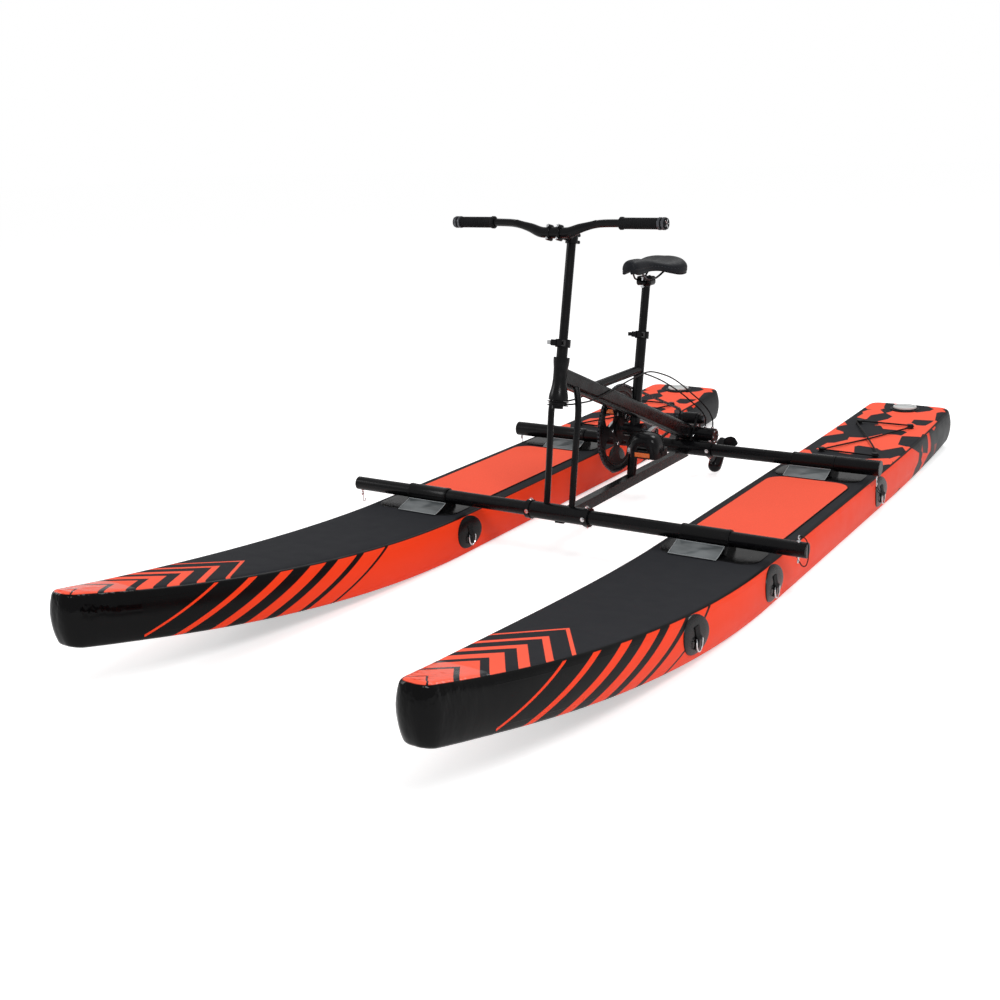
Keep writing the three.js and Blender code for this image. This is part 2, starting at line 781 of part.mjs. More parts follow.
// Front posts: each stands on the front sleeve and bends in at the top to lie against the main tube
function frontPost(sign) {
  const lean = Math.tan(postLeanDeg * inRadians);
  const x = (sign * postSpacing) / 2;
  const foot = at(x, frontBeamY, beamHeight);
  const bend = at(x, frontBeamY + postStraight * lean, beamHeight + postStraight);
  const middle = foot.clone().lerp(bend, 0.5);
  const topX = sign * (mainTubeWidth / 2 + postRadius + fitGap);
  const top = at(topX, frontBeamY + postTopBack, beamHeight + postTopRise);
  const nearTop = at(topX, top.y - postRadius * lean, top.z - 2 * postRadius);
  const bar = sweep([foot, middle, bend, nearTop, top], postRadius, 5, 8);
  return cut(bar, sleeveRoom(frontBeamY));
}

addPiece(bike, 'keel_rail', keelRail(), blackPaint);
addPiece(bike, 'main_tube', mainTube, blackPaint);
addPiece(bike, 'top_tube', topTubeShape(), blackPaint);
addPiece(bike, 'seat_tube', seatTubeShape(), blackPaint);
addPiece(bike, 'bracket_strut', bracketStrut(), blackPaint);
for (const side of sides) addPiece(bike, `${side.name}_post`, frontPost(side.sign), blackPaint);

// Clamp collar round a tube's top end: two ears towards -Y, a slot between them and a bolt across
const collarOut = (tubeRadius) => bored(tubeRadius) + collarWall;
const earHalf = (collarEarWidth + collarSlot) / 2;
const boltY = (tubeRadius) => -collarOut(tubeRadius) - collarEarReach / 2;

function collarShape(tubeRadius, height) {
  const ring = cylinder(collarOut(tubeRadius), height);
  const earDepth = collarOut(tubeRadius) + collarEarReach - tubeRadius;
  const ears = box(2 * earHalf, earDepth, height - collarWall);
  ears.translate(0, -tubeRadius - earDepth / 2, collarWall / 2);
  const slot = box(collarSlot, earDepth + tubeRadius + cutOverrun, height + 2 * cutOverrun);
  slot.translate(0, -(earDepth + tubeRadius + cutOverrun) / 2, -cutOverrun);
  const bore = hole(tubeRadius, height + 2 * cutOverrun).translate(0, 0, -cutOverrun);
  const bolt = alongX(cylinder(boltRadius, 2 * earHalf, smallSides), -earHalf);
  const nut = alongX(cylinder(2 * boltRadius, leverThickness, 6), earHalf - fitGap);
  bolt.translate(0, boltY(tubeRadius), height / 2);
  nut.translate(0, boltY(tubeRadius), height / 2);
  return join(cut(join(ring, ears), slot, bore), bolt, nut);
}

// Cam lever at the collar's starboard ear: the cam turns about the tube's direction, and the handle lies back
const leverX = (tubeRadius) => -collarOut(tubeRadius) - runningGap - leverThickness / 2;

function leverShape(tubeRadius, height) {
  const camRadius = -leverX(tubeRadius) - earHalf - fitGap;
  const leverHeight = 4 * boltRadius;
  const cam = cylinder(camRadius, leverHeight, roundSides);
  const handle = roundedPlate(leverThickness, leverLength, leverThickness / 3, leverHeight, 1);
  const shape = join(cam, handle.translate(0, leverLength / 2, 0));
  return shape.translate(leverX(tubeRadius), boltY(tubeRadius), (height - leverHeight) / 2);
}

// Steering column pieces
const steererTop = headTubeLength + steererAbove;
const steererLength = steererTop + steererBelow;
const steerer = pipe(steererRadius, bored(handlePostRadius), steererLength).translate(0, 0, -steererBelow);

function steeringPulley() {
  const bore = bored(steererRadius);
  const middle = pulleyThickness / 2;
  const grooveRoot = pulleyRadius - 2 * cableRadius - runningGap;
  const rootHalf = cableRadius + 2 * fitGap;
  const profile = [
    [bore, 0],
    [pulleyRadius, 0],
    [pulleyRadius, middle - 1.5 * rootHalf],
    [grooveRoot, middle - rootHalf],
    [grooveRoot, middle + rootHalf],
    [pulleyRadius, middle + 1.5 * rootHalf],
    [pulleyRadius, pulleyThickness],
    [bore, pulleyThickness],
    [bore, 0],
  ];
  return revolve(profile).translate(0, 0, -pulleyBelow - pulleyThickness);
}

const collarBase = steererTop - collarHeight;
const postBottom = steererTop - handlePostInset;
const postTop = postBottom + handlePostLength;
const stemCentre = postTop - stemHeight / 2;

function stemShape() {
  const sleeveAround = cylinder(stemRadius, stemHeight).translate(0, 0, postTop - stemHeight);
  const capTop = cylinder(stemRadius, collarWall, roundSides, stemRadius / 2).translate(0, 0, postTop);
  const arm = rod(at(0, 0, stemCentre), at(0, -stemReach, stemCentre), stemArmRadius);
  const clamp = alongX(cylinder(barRadius + barClampWall, barClampWidth), -barClampWidth / 2);
  const barRoom = alongX(hole(barRadius, 2 * barClampWidth), -barClampWidth);
  const postRoom = hole(handlePostRadius, stemHeight + cutOverrun);
  postRoom.translate(0, 0, postTop - stemHeight - cutOverrun + fitGap);
  const whole = join(sleeveAround, capTop, arm, clamp.translate(0, -stemReach, stemCentre));
  return cut(whole, barRoom.translate(0, -stemReach, stemCentre), postRoom);
}

function handlebarShape() {
  const half = barLength / 2 - gripEndWall - fitGap;
  const shares = [[1, 1], [0.72, 1], [0.44, 1]];
  const outer = shares.map(([reachShare, riseShare]) => [half * reachShare, barRise * riseShare]);
  const inner = [
    [barBendHalf * 0.95, barRise * 0.93],
    [barBendHalf * 0.6, barRise * 0.5],
    [2 * barFlatHalf, barRise * 0.08],
  ];
  const left = [...outer, ...inner, [barFlatHalf, 0]];
  const right = left.slice().reverse();
  const points = [...left.map(([x, z]) => at(x, 0, z)), ...right.map(([x, z]) => at(-x, 0, z))];
  return sweep(points, barRadius, 4, 20).translate(0, -stemReach, stemCentre);
}

function gripShape(sign) {
  const bore = bored(barRadius, fitGap, gripSides);
  const start = barLength / 2 - gripLength;
  const end = barLength / 2;
  const ribCount = 3;
  const ribStep = (gripLength - 2 * gripRingWidth) / ribCount;
  const outline = [[bore, start], [gripRingRadius, start], [gripRingRadius, start + gripRingWidth]];
  for (let rib = 0; rib < ribCount; rib += 1) {
    const from = start + gripRingWidth + rib * ribStep;
    outline.push([gripRadius - fitGap * 3, from]);
    outline.push([gripRadius, from + ribStep / 3], [gripRadius, from + ribStep * 0.8]);
  }
  outline.push([gripRingRadius, end - gripRingWidth], [gripRingRadius, end - gripEndWall / 2]);
  outline.push([gripRadius, end], [0, end], [0, end - gripEndWall], [bore, end - gripEndWall], [bore, start]);
  const grip = alongX(revolve(outline, gripSides));
  if (sign < 0) grip.rotateZ(Math.PI);
  return grip.translate(0, -stemReach, stemCentre + barRise);
}

addPiece(column, 'head_tube', headTube, blackPaint);
addPiece(column, 'steerer', steerer, blackPaint);
addPiece(column, 'steering_pulley', steeringPulley(), blackPaint);
const columnCollar = collarShape(steererRadius, collarHeight).translate(0, 0, collarBase);
const columnLever = leverShape(steererRadius, collarHeight).translate(0, 0, collarBase);
const handlePost = cylinder(handlePostRadius, handlePostLength).translate(0, 0, postBottom);
addPiece(column, 'column_collar', columnCollar, blackPaint);
addPiece(column, 'column_lever', columnLever, silverAlloy);
addPiece(column, 'handle_post', handlePost, blackPaint);
addPiece(column, 'stem', stemShape(), blackPaint);
addPiece(column, 'handlebar', handlebarShape(), blackPaint);
for (const side of sides) addPiece(column, `${side.name}_grip`, gripShape(side.sign), blackRubber);
bike.add(column);

// Seat post, its clamp head and the collar that locks it
const seatPostTop = at(0, 0, seatPostAbove).applyMatrix4(seat.matrix);
const headBottomZ = seatPostTop.z;
const railRestZ = headBottomZ + clampHeadHeight + railRadius + fitGap;

function seatPostShape() {
  const post = cylinder(seatPostRadius, seatPostAbove + seatPostInset).translate(0, 0, -seatPostInset);
  const topRoom = box(4 * clampHeadWidth, 4 * clampHeadLength, 4 * clampHeadLength);
  topRoom.translate(0, seatPostTop.y, headBottomZ - fitGap);
  return cut(inSeat(post), topRoom);
}

function clampHead() {
  const block = roundedPlate(clampHeadWidth, clampHeadLength, clampHeadWidth / 5, clampHeadHeight);
  block.translate(0, seatPostTop.y, headBottomZ);
  const top = roundedPlate(clampHeadWidth, clampHeadLength / 2, clampHeadWidth / 5, railRadius * 5, 3);
  top.translate(0, seatPostTop.y, headBottomZ + clampHeadHeight - railRadius);
  return cut(join(block, top), saddleRails(fitGap));
}

// Saddle: stations from nose to tail, as shares of its length, half width, top height and side depth
const saddleStationShares = [
  [0, 0.3, -0.05, 0.55],
  [0.03, 0.68, -0.012, 0.8],
  [0.1, 0.95, -0.004, 1],
  [0.22, 1.05, 0, 0.95],
  [0.36, 1.35, 0, 0.8],
  [0.5, 2.05, -0.02, 0.75],
  [0.62, 2.9, -0.03, 0.82],
  [0.75, 3.5, -0.018, 0.95],
  [0.87, 3.67, 0, 1],
  [0.96, 3.2, -0.012, 0.92],
  [1, 2.3, -0.05, 0.6],
];

// Section of the saddle as shares of half width and depth: a crown, a shoulder, a skirt and a hollow below
const saddleSectionShares = [
  [0, 1],
  [0.42, 0.97],
  [0.74, 0.84],
  [0.94, 0.6],
  [1, 0.3],
  [0.93, 0],
  [0.8, 0.06],
  [0.45, 0.42],
  [0, 0.46],
];

function saddleShape() {
  const lower = saddleSectionShares.slice(1, -1).reverse().map(([across, up]) => [-across, up]);
  const loop = [...saddleSectionShares, ...lower];
  const rings = saddleStationShares.map(([alongShare, widthShare, topShare, depthShare]) => {
    const halfWidth = saddleNoseHalfWidth * widthShare;
    const wide = (halfWidth - saddleNoseHalfWidth) / (saddleHalfWidth - saddleNoseHalfWidth);
    const depth = (saddleNoseDepth + (saddleWingDepth - saddleNoseDepth) * Math.max(0, wide)) * depthShare;
    const top = saddleTopZ + saddleLength * topShare;
    const y = saddleNoseY + saddleLength * alongShare;
    return loop.map(([across, up]) => at(halfWidth * across, y, top - depth * (1 - up)));
  });
  return loft(rings);
}

// Rails: they rise from the clamp to sockets in the saddle's underside, at the nose and at the tail
function saddleRails(grow) {
  const y = seatPostTop.y;
  const frontY = y - railFrontReach;
  const backY = y + railRearReach;
  const frontZ = saddleTopZ - saddleNoseDepth * undersideShare;
  const backZ = saddleTopZ - saddleWingDepth * undersideShare;
  const frontX = railSpacing * 0.24;
  const backX = railSpacing * 0.8;
  const rails = [1, -1].map((sign) => {
    const x = (sign * railSpacing) / 2;
    const points = [
      at(sign * frontX, frontY, frontZ),
      at(x * 0.8, frontY + railRun, (frontZ + railRestZ) / 2),
      at(x, y - railRun, railRestZ),
      at(x, y, railRestZ),
      at(x, y + railRun, railRestZ),
      at(x * 1.3, backY - railRun, (backZ + railRestZ) / 2),
      at(sign * backX, backY, backZ),
    ];
    return sweep(points, railRadius + grow, 3, 10);
  });
  const barRadius = railRadius * 1.3 + grow;
  const end = frontX + grow;
  const front = rod(at(-end, frontY, frontZ), at(end, frontY, frontZ), barRadius, smallSides);
  const back = rod(at(-backX - grow, backY, backZ), at(backX + grow, backY, backZ), barRadius, smallSides);
  return join(...rails, front, back);
}

const seatCollar = collarShape(seatTubeRadius, collarHeight).translate(0, 0, -collarHeight);
const seatLever = leverShape(seatTubeRadius, collarHeight).translate(0, 0, -collarHeight);
addPiece(seat, 'seat_collar', seatCollar, blackPaint);
addPiece(seat, 'seat_lever', seatLever, blackPaint);
bike.add(seat);
addPiece(bike, 'seat_post', seatPostShape(), blackPaint);
addPiece(bike, 'saddle_clamp', clampHead(), blackPaint);
addPiece(bike, 'saddle_rails', saddleRails(0), darkSteel);
addPiece(bike, 'saddle', cut(saddleShape(), saddleRails(fitGap)), saddleCover);

// Cranks: the group's origin is the middle of the spindle
const crank = new THREE.Group();
crank.position.set(0, crankY, crankZ);

function spindleShape() {
  const middle = shellLength / 2 + runningGap;
  const portEnd = portArmX + armThickness - fitGap;
  const starboardEnd = starboardArmX + armThickness - fitGap;
  const profile = [
    [0, -starboardEnd],
    [spindleEndRadius, -starboardEnd],
    [spindleEndRadius, -middle],
    [spindleRadius, -middle],
    [spindleRadius, middle],
    [spindleEndRadius, middle],
    [spindleEndRadius, portEnd],
    [0, portEnd],
  ];
  return alongX(revolve(profile));
}

// Crank arm in the YZ plane, tapering from the spindle boss to the pedal boss
function crankArm(start, heading) {
  const angle = Math.asin((armRootRadius - armTipRadius) / crankLength);
  const steps = 6;
  const corners = [];
  for (let step = 0; step <= steps; step += 1) {
    const turn = quarterTurn - angle + (step / steps) * (Math.PI + 2 * angle);
    corners.push([armRootRadius * Math.cos(turn), armRootRadius * Math.sin(turn)]);
  }
  for (let step = 0; step <= steps; step += 1) {
    const turn = -quarterTurn + angle + (step / steps) * (Math.PI - 2 * angle);
    corners.push([crankLength + armTipRadius * Math.cos(turn), armTipRadius * Math.sin(turn)]);
  }
  const arm = sidePlate(corners, start, armThickness);
  const rootHole = alongX(hole(spindleEndRadius, armThickness + 2 * cutOverrun), start - cutOverrun);
  const tipHole = alongX(hole(pedalAxleRadius, armThickness + 2 * cutOverrun), start - cutOverrun);
  return cut(arm, rootHole, tipHole.translate(0, crankLength, 0)).rotateX(heading);
}

const portHeading = Math.PI + crankDropDeg * inRadians;
const starboardHeading = crankDropDeg * inRadians;

// A toothed wheel in the YZ plane, centred on x = 0, whose teeth stand between the chain's plates
function toothedWheel(teeth, pitchRadius, thickness) {
  const root = pitchRadius + toothTopProud - toothDepth;
  const tip = pitchRadius + toothTopProud;
  const step = fullTurn / teeth;
  const toothShares = [[-0.5, 0], [-0.14, 1], [0.14, 1]];
  const corners = [];
  for (let tooth = 0; tooth < teeth; tooth += 1) {
    for (const [turnShare, upShare] of toothShares) {
      const turn = (tooth + 0.5 + turnShare) * step;
      const radius = root + (tip - root) * upShare;
      corners.push([radius * Math.cos(turn), radius * Math.sin(turn)]);
    }
  }
  return sidePlate(corners, -thickness / 2, thickness);
}

function chainringShape() {
  const wheel = toothedWheel(ringTeeth, chainringRadius, toothThickness);
  const hub = alongX(cylinder(spiderHoleRadius, hubThickness), -hubThickness / 2);
  const holes = [];
  for (let hole = 0; hole < spiderHoles; hole += 1) {
    const turn = (hole / spiderHoles) * fullTurn;
    const room = alongX(cylinder(spiderHoleRadius, 2 * hubThickness, smallSides), -hubThickness);
    holes.push(room.translate(0, spiderHoleCircle * Math.cos(turn), spiderHoleCircle * Math.sin(turn)));
  }
  const bore = alongX(hole(spindleEndRadius, 2 * hubThickness), -hubThickness);
  return cut(join(cut(wheel, ...holes), hub), bore).translate(chainLineX, 0, 0);
}

addPiece(crank, 'crank_spindle', spindleShape(), darkSteel);
addPiece(crank, 'chainring', chainringShape(), blackPaint);
addPiece(crank, 'port_crank', crankArm(portArmX, portHeading), silverAlloy);
addPiece(crank, 'starboard_crank', crankArm(-starboardArmX - armThickness, starboardHeading), silverAlloy);
bike.add(crank);

// Pedal: the group's origin is on the pedal axle at the crank arm's outer face, with the pedal along +X
function pedalShape() {
  const frame = roundedPlate(pedalWidth, pedalLength, pedalRim * 1.6, pedalDepth, 2);
  frame.translate(pedalGap + pedalWidth / 2, 0, -pedalDepth / 2);
  const windowLength = pedalLength / 2 - pedalRim - pedalAxleRadius * 2;
  const windows = [1, -1].map((sign) => {
    const room = box(pedalWidth - 3 * pedalRim, windowLength, 2 * pedalDepth);
    const away = pedalAxleRadius * 2 + windowLength / 2;
    return room.translate(pedalGap + pedalWidth / 2, sign * away, -pedalDepth);
  });
  const axle = alongX(cylinder(pedalAxleRadius, armThickness + pedalGap + pedalRim), -armThickness + fitGap);
  const collarTop = 1.4 * pedalAxleRadius;
  const collar = alongX(cylinder(1.7 * pedalAxleRadius, pedalGap, smallSides, collarTop), runningGap);
  return join(cut(frame, ...windows), axle, collar);
}

// Toe strap: a low arch over the pedal, seated on the ends of its frame
function toeStrap() {
  const outer = new THREE.Shape();
  const half = pedalLength / 2 - fitGap;
  const archPoints = (inset) => {
    const points = [];
    for (let step = 0; step <= 10; step += 1) {
      const turn = (step / 10) * Math.PI;
      const flat = Math.sign(Math.cos(turn)) * Math.abs(Math.cos(turn)) ** 0.6;
      points.push([(half - inset) * flat, (toeStrapHeight - inset) * Math.sin(turn) ** 0.8]);
    }
    return points;
  };
  const ring = [...archPoints(0), ...archPoints(toeStrapThickness).reverse()];
  ring.forEach(([y, z], index) => (index ? outer.lineTo(y, z) : outer.moveTo(y, z)));
  const arch = new THREE.ExtrudeGeometry(outer, { depth: toeStrapWidth, bevelEnabled: false });
  arch.applyMatrix4(new THREE.Matrix4().makeBasis(at(0, 1, 0), at(0, 0, 1), at(1, 0, 0)));
  return arch.translate(pedalGap + pedalWidth * 0.55, 0, pedalDepth / 2 + fitGap);
}

const pedalPlaces = [
  { name: 'port', sign: 1, x: portArmX + armThickness, heading: portHeading },
  { name: 'starboard', sign: -1, x: starboardArmX + armThickness, heading: starboardHeading },
];
for (const { name, sign, x, heading } of pedalPlaces) {
  const pedal = new THREE.Group();
  const y = crankY + crankLength * Math.cos(heading);
  const z = crankZ + crankLength * Math.sin(heading);
  pedal.position.set(sign * x, y, z);
  if (sign < 0) pedal.rotation.z = Math.PI;
  addPiece(pedal, `${name}_pedal`, pedalShape(), blackPlastic);
  addPiece(pedal, `${name}_toe_strap`, toeStrap(), blackWebbing);
  bike.add(pedal);
}

// Chain: the rollers' places, once round both wheels, in [y, z] from the spindle
const runY = driveY - crankY;
const runZ = driveZ - crankZ;
const runLength = Math.hypot(runY, runZ);
const runHeading = Math.atan2(runZ, runY);

function wrapTurns(teeth, from, to) {
  const step = fullTurn / teeth;
  const turns = [];
  for (let tooth = Math.ceil(from / step); tooth * step <= to; tooth += 1) turns.push(tooth * step);
  return turns;
}

function chainRollers() {
  const slant = Math.acos((chainringRadius - sprocketRadius) / runLength);
  const bigTurns = wrapTurns(ringTeeth, runHeading + slant, runHeading + fullTurn - slant);
  const smallTurns = wrapTurns(sprocketTeeth, runHeading - slant, runHeading + slant);
  const onRing = (turn) => ({ y: chainringRadius * Math.cos(turn), z: chainringRadius * Math.sin(turn) });
  const big = bigTurns.map(onRing);
  const small = smallTurns.map((turn) => ({
    y: runY + sprocketRadius * Math.cos(turn),
    z: runZ + sprocketRadius * Math.sin(turn),
  }));
  const run = (from, to) => {
    const count = Math.round(Math.hypot(to.y - from.y, to.z - from.z) / chainPitch);
    const between = [];
    for (let link = 1; link < count; link += 1) {
      const share = link / count;
      const y = from.y + (to.y - from.y) * share;
      between.push({ y, z: from.z + (to.z - from.z) * share, free: true });
    }
    return between;
  };
  return [...big, ...run(big.at(-1), small[0]), ...small, ...run(small.at(-1), big[0])];
}

// Two waisted plate bands, bridged by half a link at each joint that no tooth can reach
function chainShape() {
  const rollers = chainRollers();
  const count = rollers.length;
  const places = [];
  const faces = [];
  const reach = plateGap / 2 + plateThickness;
  const layers = [-reach, -plateGap / 2, plateGap / 2, reach];
  const station = (y, z, headingY, headingZ, halfHeight) => {
    const first = places.length / 3;
    for (const x of layers) {
      places.push(x, y - headingZ * halfHeight, z + headingY * halfHeight);
      places.push(x, y + headingZ * halfHeight, z - headingY * halfHeight);
    }
    return first;
  };
  const stations = [];
  rollers.forEach((roller, index) => {
    const back = rollers[(index + count - 1) % count];
    const next = rollers[(index + 1) % count];
    const span = Math.hypot(next.y - back.y, next.z - back.z);
    const headingY = (next.y - back.y) / span;
    const headingZ = (next.z - back.z) / span;
    const bigClear = Math.hypot(roller.y, roller.z) > chainringRadius + chainPitch;
    const smallClear = Math.hypot(roller.y - runY, roller.z - runZ) > sprocketRadius + chainPitch;
    const bridged = Boolean(roller.free) && bigClear && smallClear;
    stations.push({ first: station(roller.y, roller.z, headingY, headingZ, plateHeight / 2), bridged });
    const length = Math.hypot(next.y - roller.y, next.z - roller.z);
    const middle = station(
      (roller.y + next.y) / 2,
      (roller.z + next.z) / 2,
      (next.y - roller.y) / length,
      (next.z - roller.z) / length,
      plateWaist / 2,
    );
    stations.push({ first: middle, bridged: false });
  });
  const quad = (a, b, c, d) => faces.push(a, b, c, a, c, d);
  stations.forEach(({ first: a, bridged }, index) => {
    const after = stations[(index + 1) % stations.length];
    const b = after.first;
    quad(a, a + 1, b + 1, b);
    quad(a + 7, a + 6, b + 6, b + 7);
    for (const inner of [0, 4]) {
      quad(a + inner + 2, a + inner, b + inner, b + inner + 2);
      quad(a + inner + 1, a + inner + 3, b + inner + 3, b + inner + 1);
    }
    if (bridged) {
      quad(a + 4, a + 2, b + 2, b + 4);
      quad(a + 3, a + 5, b + 5, b + 3);
      quad(a + 2, a + 4, a + 5, a + 3);
      quad(b + 4, b + 2, b + 3, b + 5);
    } else {
      quad(a + 3, a + 2, b + 2, b + 3);
      quad(a + 4, a + 5, b + 5, b + 4);
    }
  });
  const geometry = new THREE.BufferGeometry();
  geometry.setAttribute('position', new THREE.Float32BufferAttribute(places, 3));
  geometry.setIndex(faces);
  return geometry.translate(chainLineX, crankY, crankZ);
}

addPiece(bike, 'chain', chainShape(), darkSteel);

// Drive housing: two cheeks round the input shaft, a web behind the rear sleeve and a barrel to port
function driveHousing() {
  const cheekCorners = () => {
    const corners = [];
    for (let step = 0; step <= 6; step += 1) {
      const turn = -quarterTurn / 3 + (step / 6) * (2 * quarterTurn + quarterTurn / 3);
      corners.push([driveY + cheekRadius * Math.cos(turn), driveZ + cheekRadius * Math.sin(turn)]);
    }
    corners.push([rearBeamY - sleeveRadius / 2, beamHeight + sleeveRadius]);
    corners.push([rearBeamY, beamHeight]);
    corners.push([rearBeamY + sleeveRadius + cheekWebThickness, beamHeight - sleeveRadius / 2]);
    return corners;
  };
  const outer = cheekInside + cheekThickness;
  const portCheek = sidePlate(cheekCorners(), cheekInside, cheekThickness);
  const starboardCheek = sidePlate(cheekCorners(), -outer, cheekThickness);
  const web = box(2 * outer, cheekWebThickness, sleeveRadius);
  web.translate(0, rearBeamY + sleeveRadius + fitGap + cheekWebThickness / 2, beamHeight - sleeveRadius / 2);
  const bosses = [1, -1].map((sign) =>
    alongX(cylinder(bossRadius, bossReach + fitGap), sign > 0 ? outer - fitGap : -outer - bossReach)
      .translate(0, driveY, driveZ));
  const barrel = alongX(cylinder(barrelRadius, barrelLength), outer - fitGap);
  barrel.translate(0, rearBeamY + barrelBack, beamHeight + barrelRise);
  const bore = alongX(hole(driveShaftRadius, 8 * outer, runningGap), -4 * outer).translate(0, driveY, driveZ);
  return cut(join(portCheek, starboardCheek, web, ...bosses, barrel), bore, sleeveRoom(rearBeamY));
}

const sprocketGroup = new THREE.Group();
sprocketGroup.position.set(0, driveY, driveZ);

function driveSprocket() {
  const wheel = toothedWheel(sprocketTeeth, sprocketRadius, toothThickness).translate(chainLineX, 0, 0);
  const starboardEnd = cheekInside + cheekThickness + bossReach + runningGap;
  const portEnd = cheekInside + cheekThickness + bossReach + runningGap;
  const start = chainLineX - hubThickness / 2;
  const shaft = alongX(cylinder(driveShaftRadius, -chainLineX + portEnd + hubThickness), start);
  const hub = alongX(cylinder(1.8 * driveShaftRadius, -chainLineX - starboardEnd + hubThickness / 2), start);
  const nut = alongX(cylinder(1.6 * driveShaftRadius, hubThickness, 6), portEnd);
  return join(wheel, shaft, hub, nut);
}

addPiece(bike, 'drive_housing', driveHousing(), blackPaint);
addPiece(sprocketGroup, 'drive_sprocket', driveSprocket(), darkSteel);
bike.add(sprocketGroup);

// Drive leg frame: its origin is the input shaft's axis and -Z runs down the leg
const leg = new THREE.Group();
leg.position.set(0, driveY, driveZ);
leg.rotation.x = legTurn;
const swivelDown = legUpperLength + fitGap;

function upperLeg() {
  const knee = alongX(cylinder(kneeRadius, 2 * (cheekInside - runningGap)), -cheekInside + runningGap);
  const tube = cylinder(legRadius, legUpperLength).translate(0, 0, -legUpperLength);
  const flange = cylinder(flangeRadius, flangeThickness).translate(0, 0, -legUpperLength);
  const bore = alongX(hole(driveShaftRadius, 4 * cheekInside, runningGap), -2 * cheekInside);
  return cut(join(knee, tube, flange), bore);
}

function finOutline(chord, thickness) {
  const corners = [];
  for (let step = 0; step < 16; step += 1) {
    const turn = (step / 16) * fullTurn;
    corners.push([(thickness / 2) * Math.sin(turn), (chord / 2) * Math.cos(turn)]);
  }
  return corners;
}

function lowerUnit() {
  const flange = cylinder(flangeRadius, flangeThickness).translate(0, 0, -swivelDown - flangeThickness);
  const fin = prism(finOutline(finChord, finThickness), legLength - swivelDown).translate(0, 0, -legLength);
  const noseRound = podNose - podRadius;
  const profile = [[0, -podNose]];
  for (let step = 1; step <= 5; step += 1) {
    const turn = (step / 5) * quarterTurn;
    profile.push([podRadius * Math.sin(turn), -noseRound - podRadius * Math.cos(turn)]);
  }
  profile.push([podRadius, podTail / 3], [propellerHubRadius, podTail], [0, podTail]);
  const pod = alongY(revolve(profile)).translate(0, 0, -legLength);
  return join(flange, fin, pod);
}

function propeller() {
  const start = podTail + runningGap;
  const hubProfile = [
    [0, 0],
    [propellerHubRadius, 0],
    [propellerHubRadius, propellerHubLength * 0.6],
    [propellerHubRadius * 0.7, propellerHubLength * 0.88],
    [0, propellerHubLength],
  ];
  const hub = revolve(hubProfile);
  const blades = [];
  const bladeShares = [[0, 0], [0.25, 0.75], [0.6, 1], [0.88, 0.8], [1, 0.25]];
  for (let blade = 0; blade < bladeCount; blade += 1) {
    const rings = bladeShares.map(([upShare, widthShare]) => {
      const radius = propellerHubRadius / 2 + (propellerRadius - propellerHubRadius / 2) * upShare;
      const width = bladeRootWidth / 2 + (bladeTipWidth - bladeRootWidth / 2) * widthShare;
      const pitch = bladePitchDeg * inRadians * (1.35 - 0.5 * upShare);
      const section = [[-0.5, 0], [0, 0.5], [0.5, 0], [0, -0.5]];
      return section.map(([alongShare, upHalf]) => {
        const run = width * alongShare;
        const thick = bladeThickness * upHalf * (1.2 - 0.7 * upShare);
        const x = run * Math.cos(pitch) - thick * Math.sin(pitch);
        const z = run * Math.sin(pitch) + thick * Math.cos(pitch);
        return at(x, radius, z + propellerHubLength * 0.32);
      });
    });
    blades.push(loft(rings).rotateZ((blade / bladeCount) * fullTurn));
  }
  return alongY(join(hub, ...blades), start).translate(0, 0, -legLength);
}

addPiece(leg, 'drive_leg', upperLeg(), blackPaint);
addPiece(leg, 'lower_unit', lowerUnit(), blackPaint);
addPiece(leg, 'propeller', propeller(), blackPlastic);
bike.add(leg);

// Steering cables: from the pulley's groove back beside the main tube, and down to the barrel's top
const cableX = pulleyRadius - cableRadius;
const barrelTop = beamHeight + barrelRise + barrelRadius + fitGap;

function pulleyEnd(sign) {
  const low = -pulleyBelow - pulleyThickness / 2;
  return [0, cableX].map((back) => at(sign * cableX, back, low).applyMatrix4(column.matrix));
}

const portCableRoute = [
  [29, -240, 507], [28, -150, 498], [28, -45, 500], [28, 60, 511], [28, 150, 517], [27, 235, 519], [25, 310, 506],
  [23, 430, 468], [22, 530, 422], [26, 600, 380], [40, 645, 345], [62, 668, 308], [80, 664, 280], [88, 652, 262],
];
const starboardCableRoute = [
  [-29, -240, 507], [-28, -150, 498], [-28, -45, 500], [-28, 60, 511], [-28, 150, 517], [-27, 235, 517],
  [-24, 310, 500], [-14, 430, 455], [6, 530, 400], [30, 590, 352], [52, 630, 312], [60, 650, 282], [60, 651, 262],
];

for (const side of sides) {
  const route = side.sign > 0 ? portCableRoute : starboardCableRoute;
  const last = route.at(-1);
  const end = at(last[0], rearBeamY + barrelBack, barrelTop);
  const points = [...pulleyEnd(side.sign), ...route.map(([x, y, z]) => at(x, y, z)), end];
  addPiece(bike, `${side.name}_steering_cable`, sweep(points, cableRadius, 3, 36), blackRubber);
}

export default bike;
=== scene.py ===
# Looks of the pontoon water bike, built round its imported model. All sizes are in metres.
import json
import math

import bmesh
import bpy
import numpy as np
from mathutils import Matrix, Vector, noise


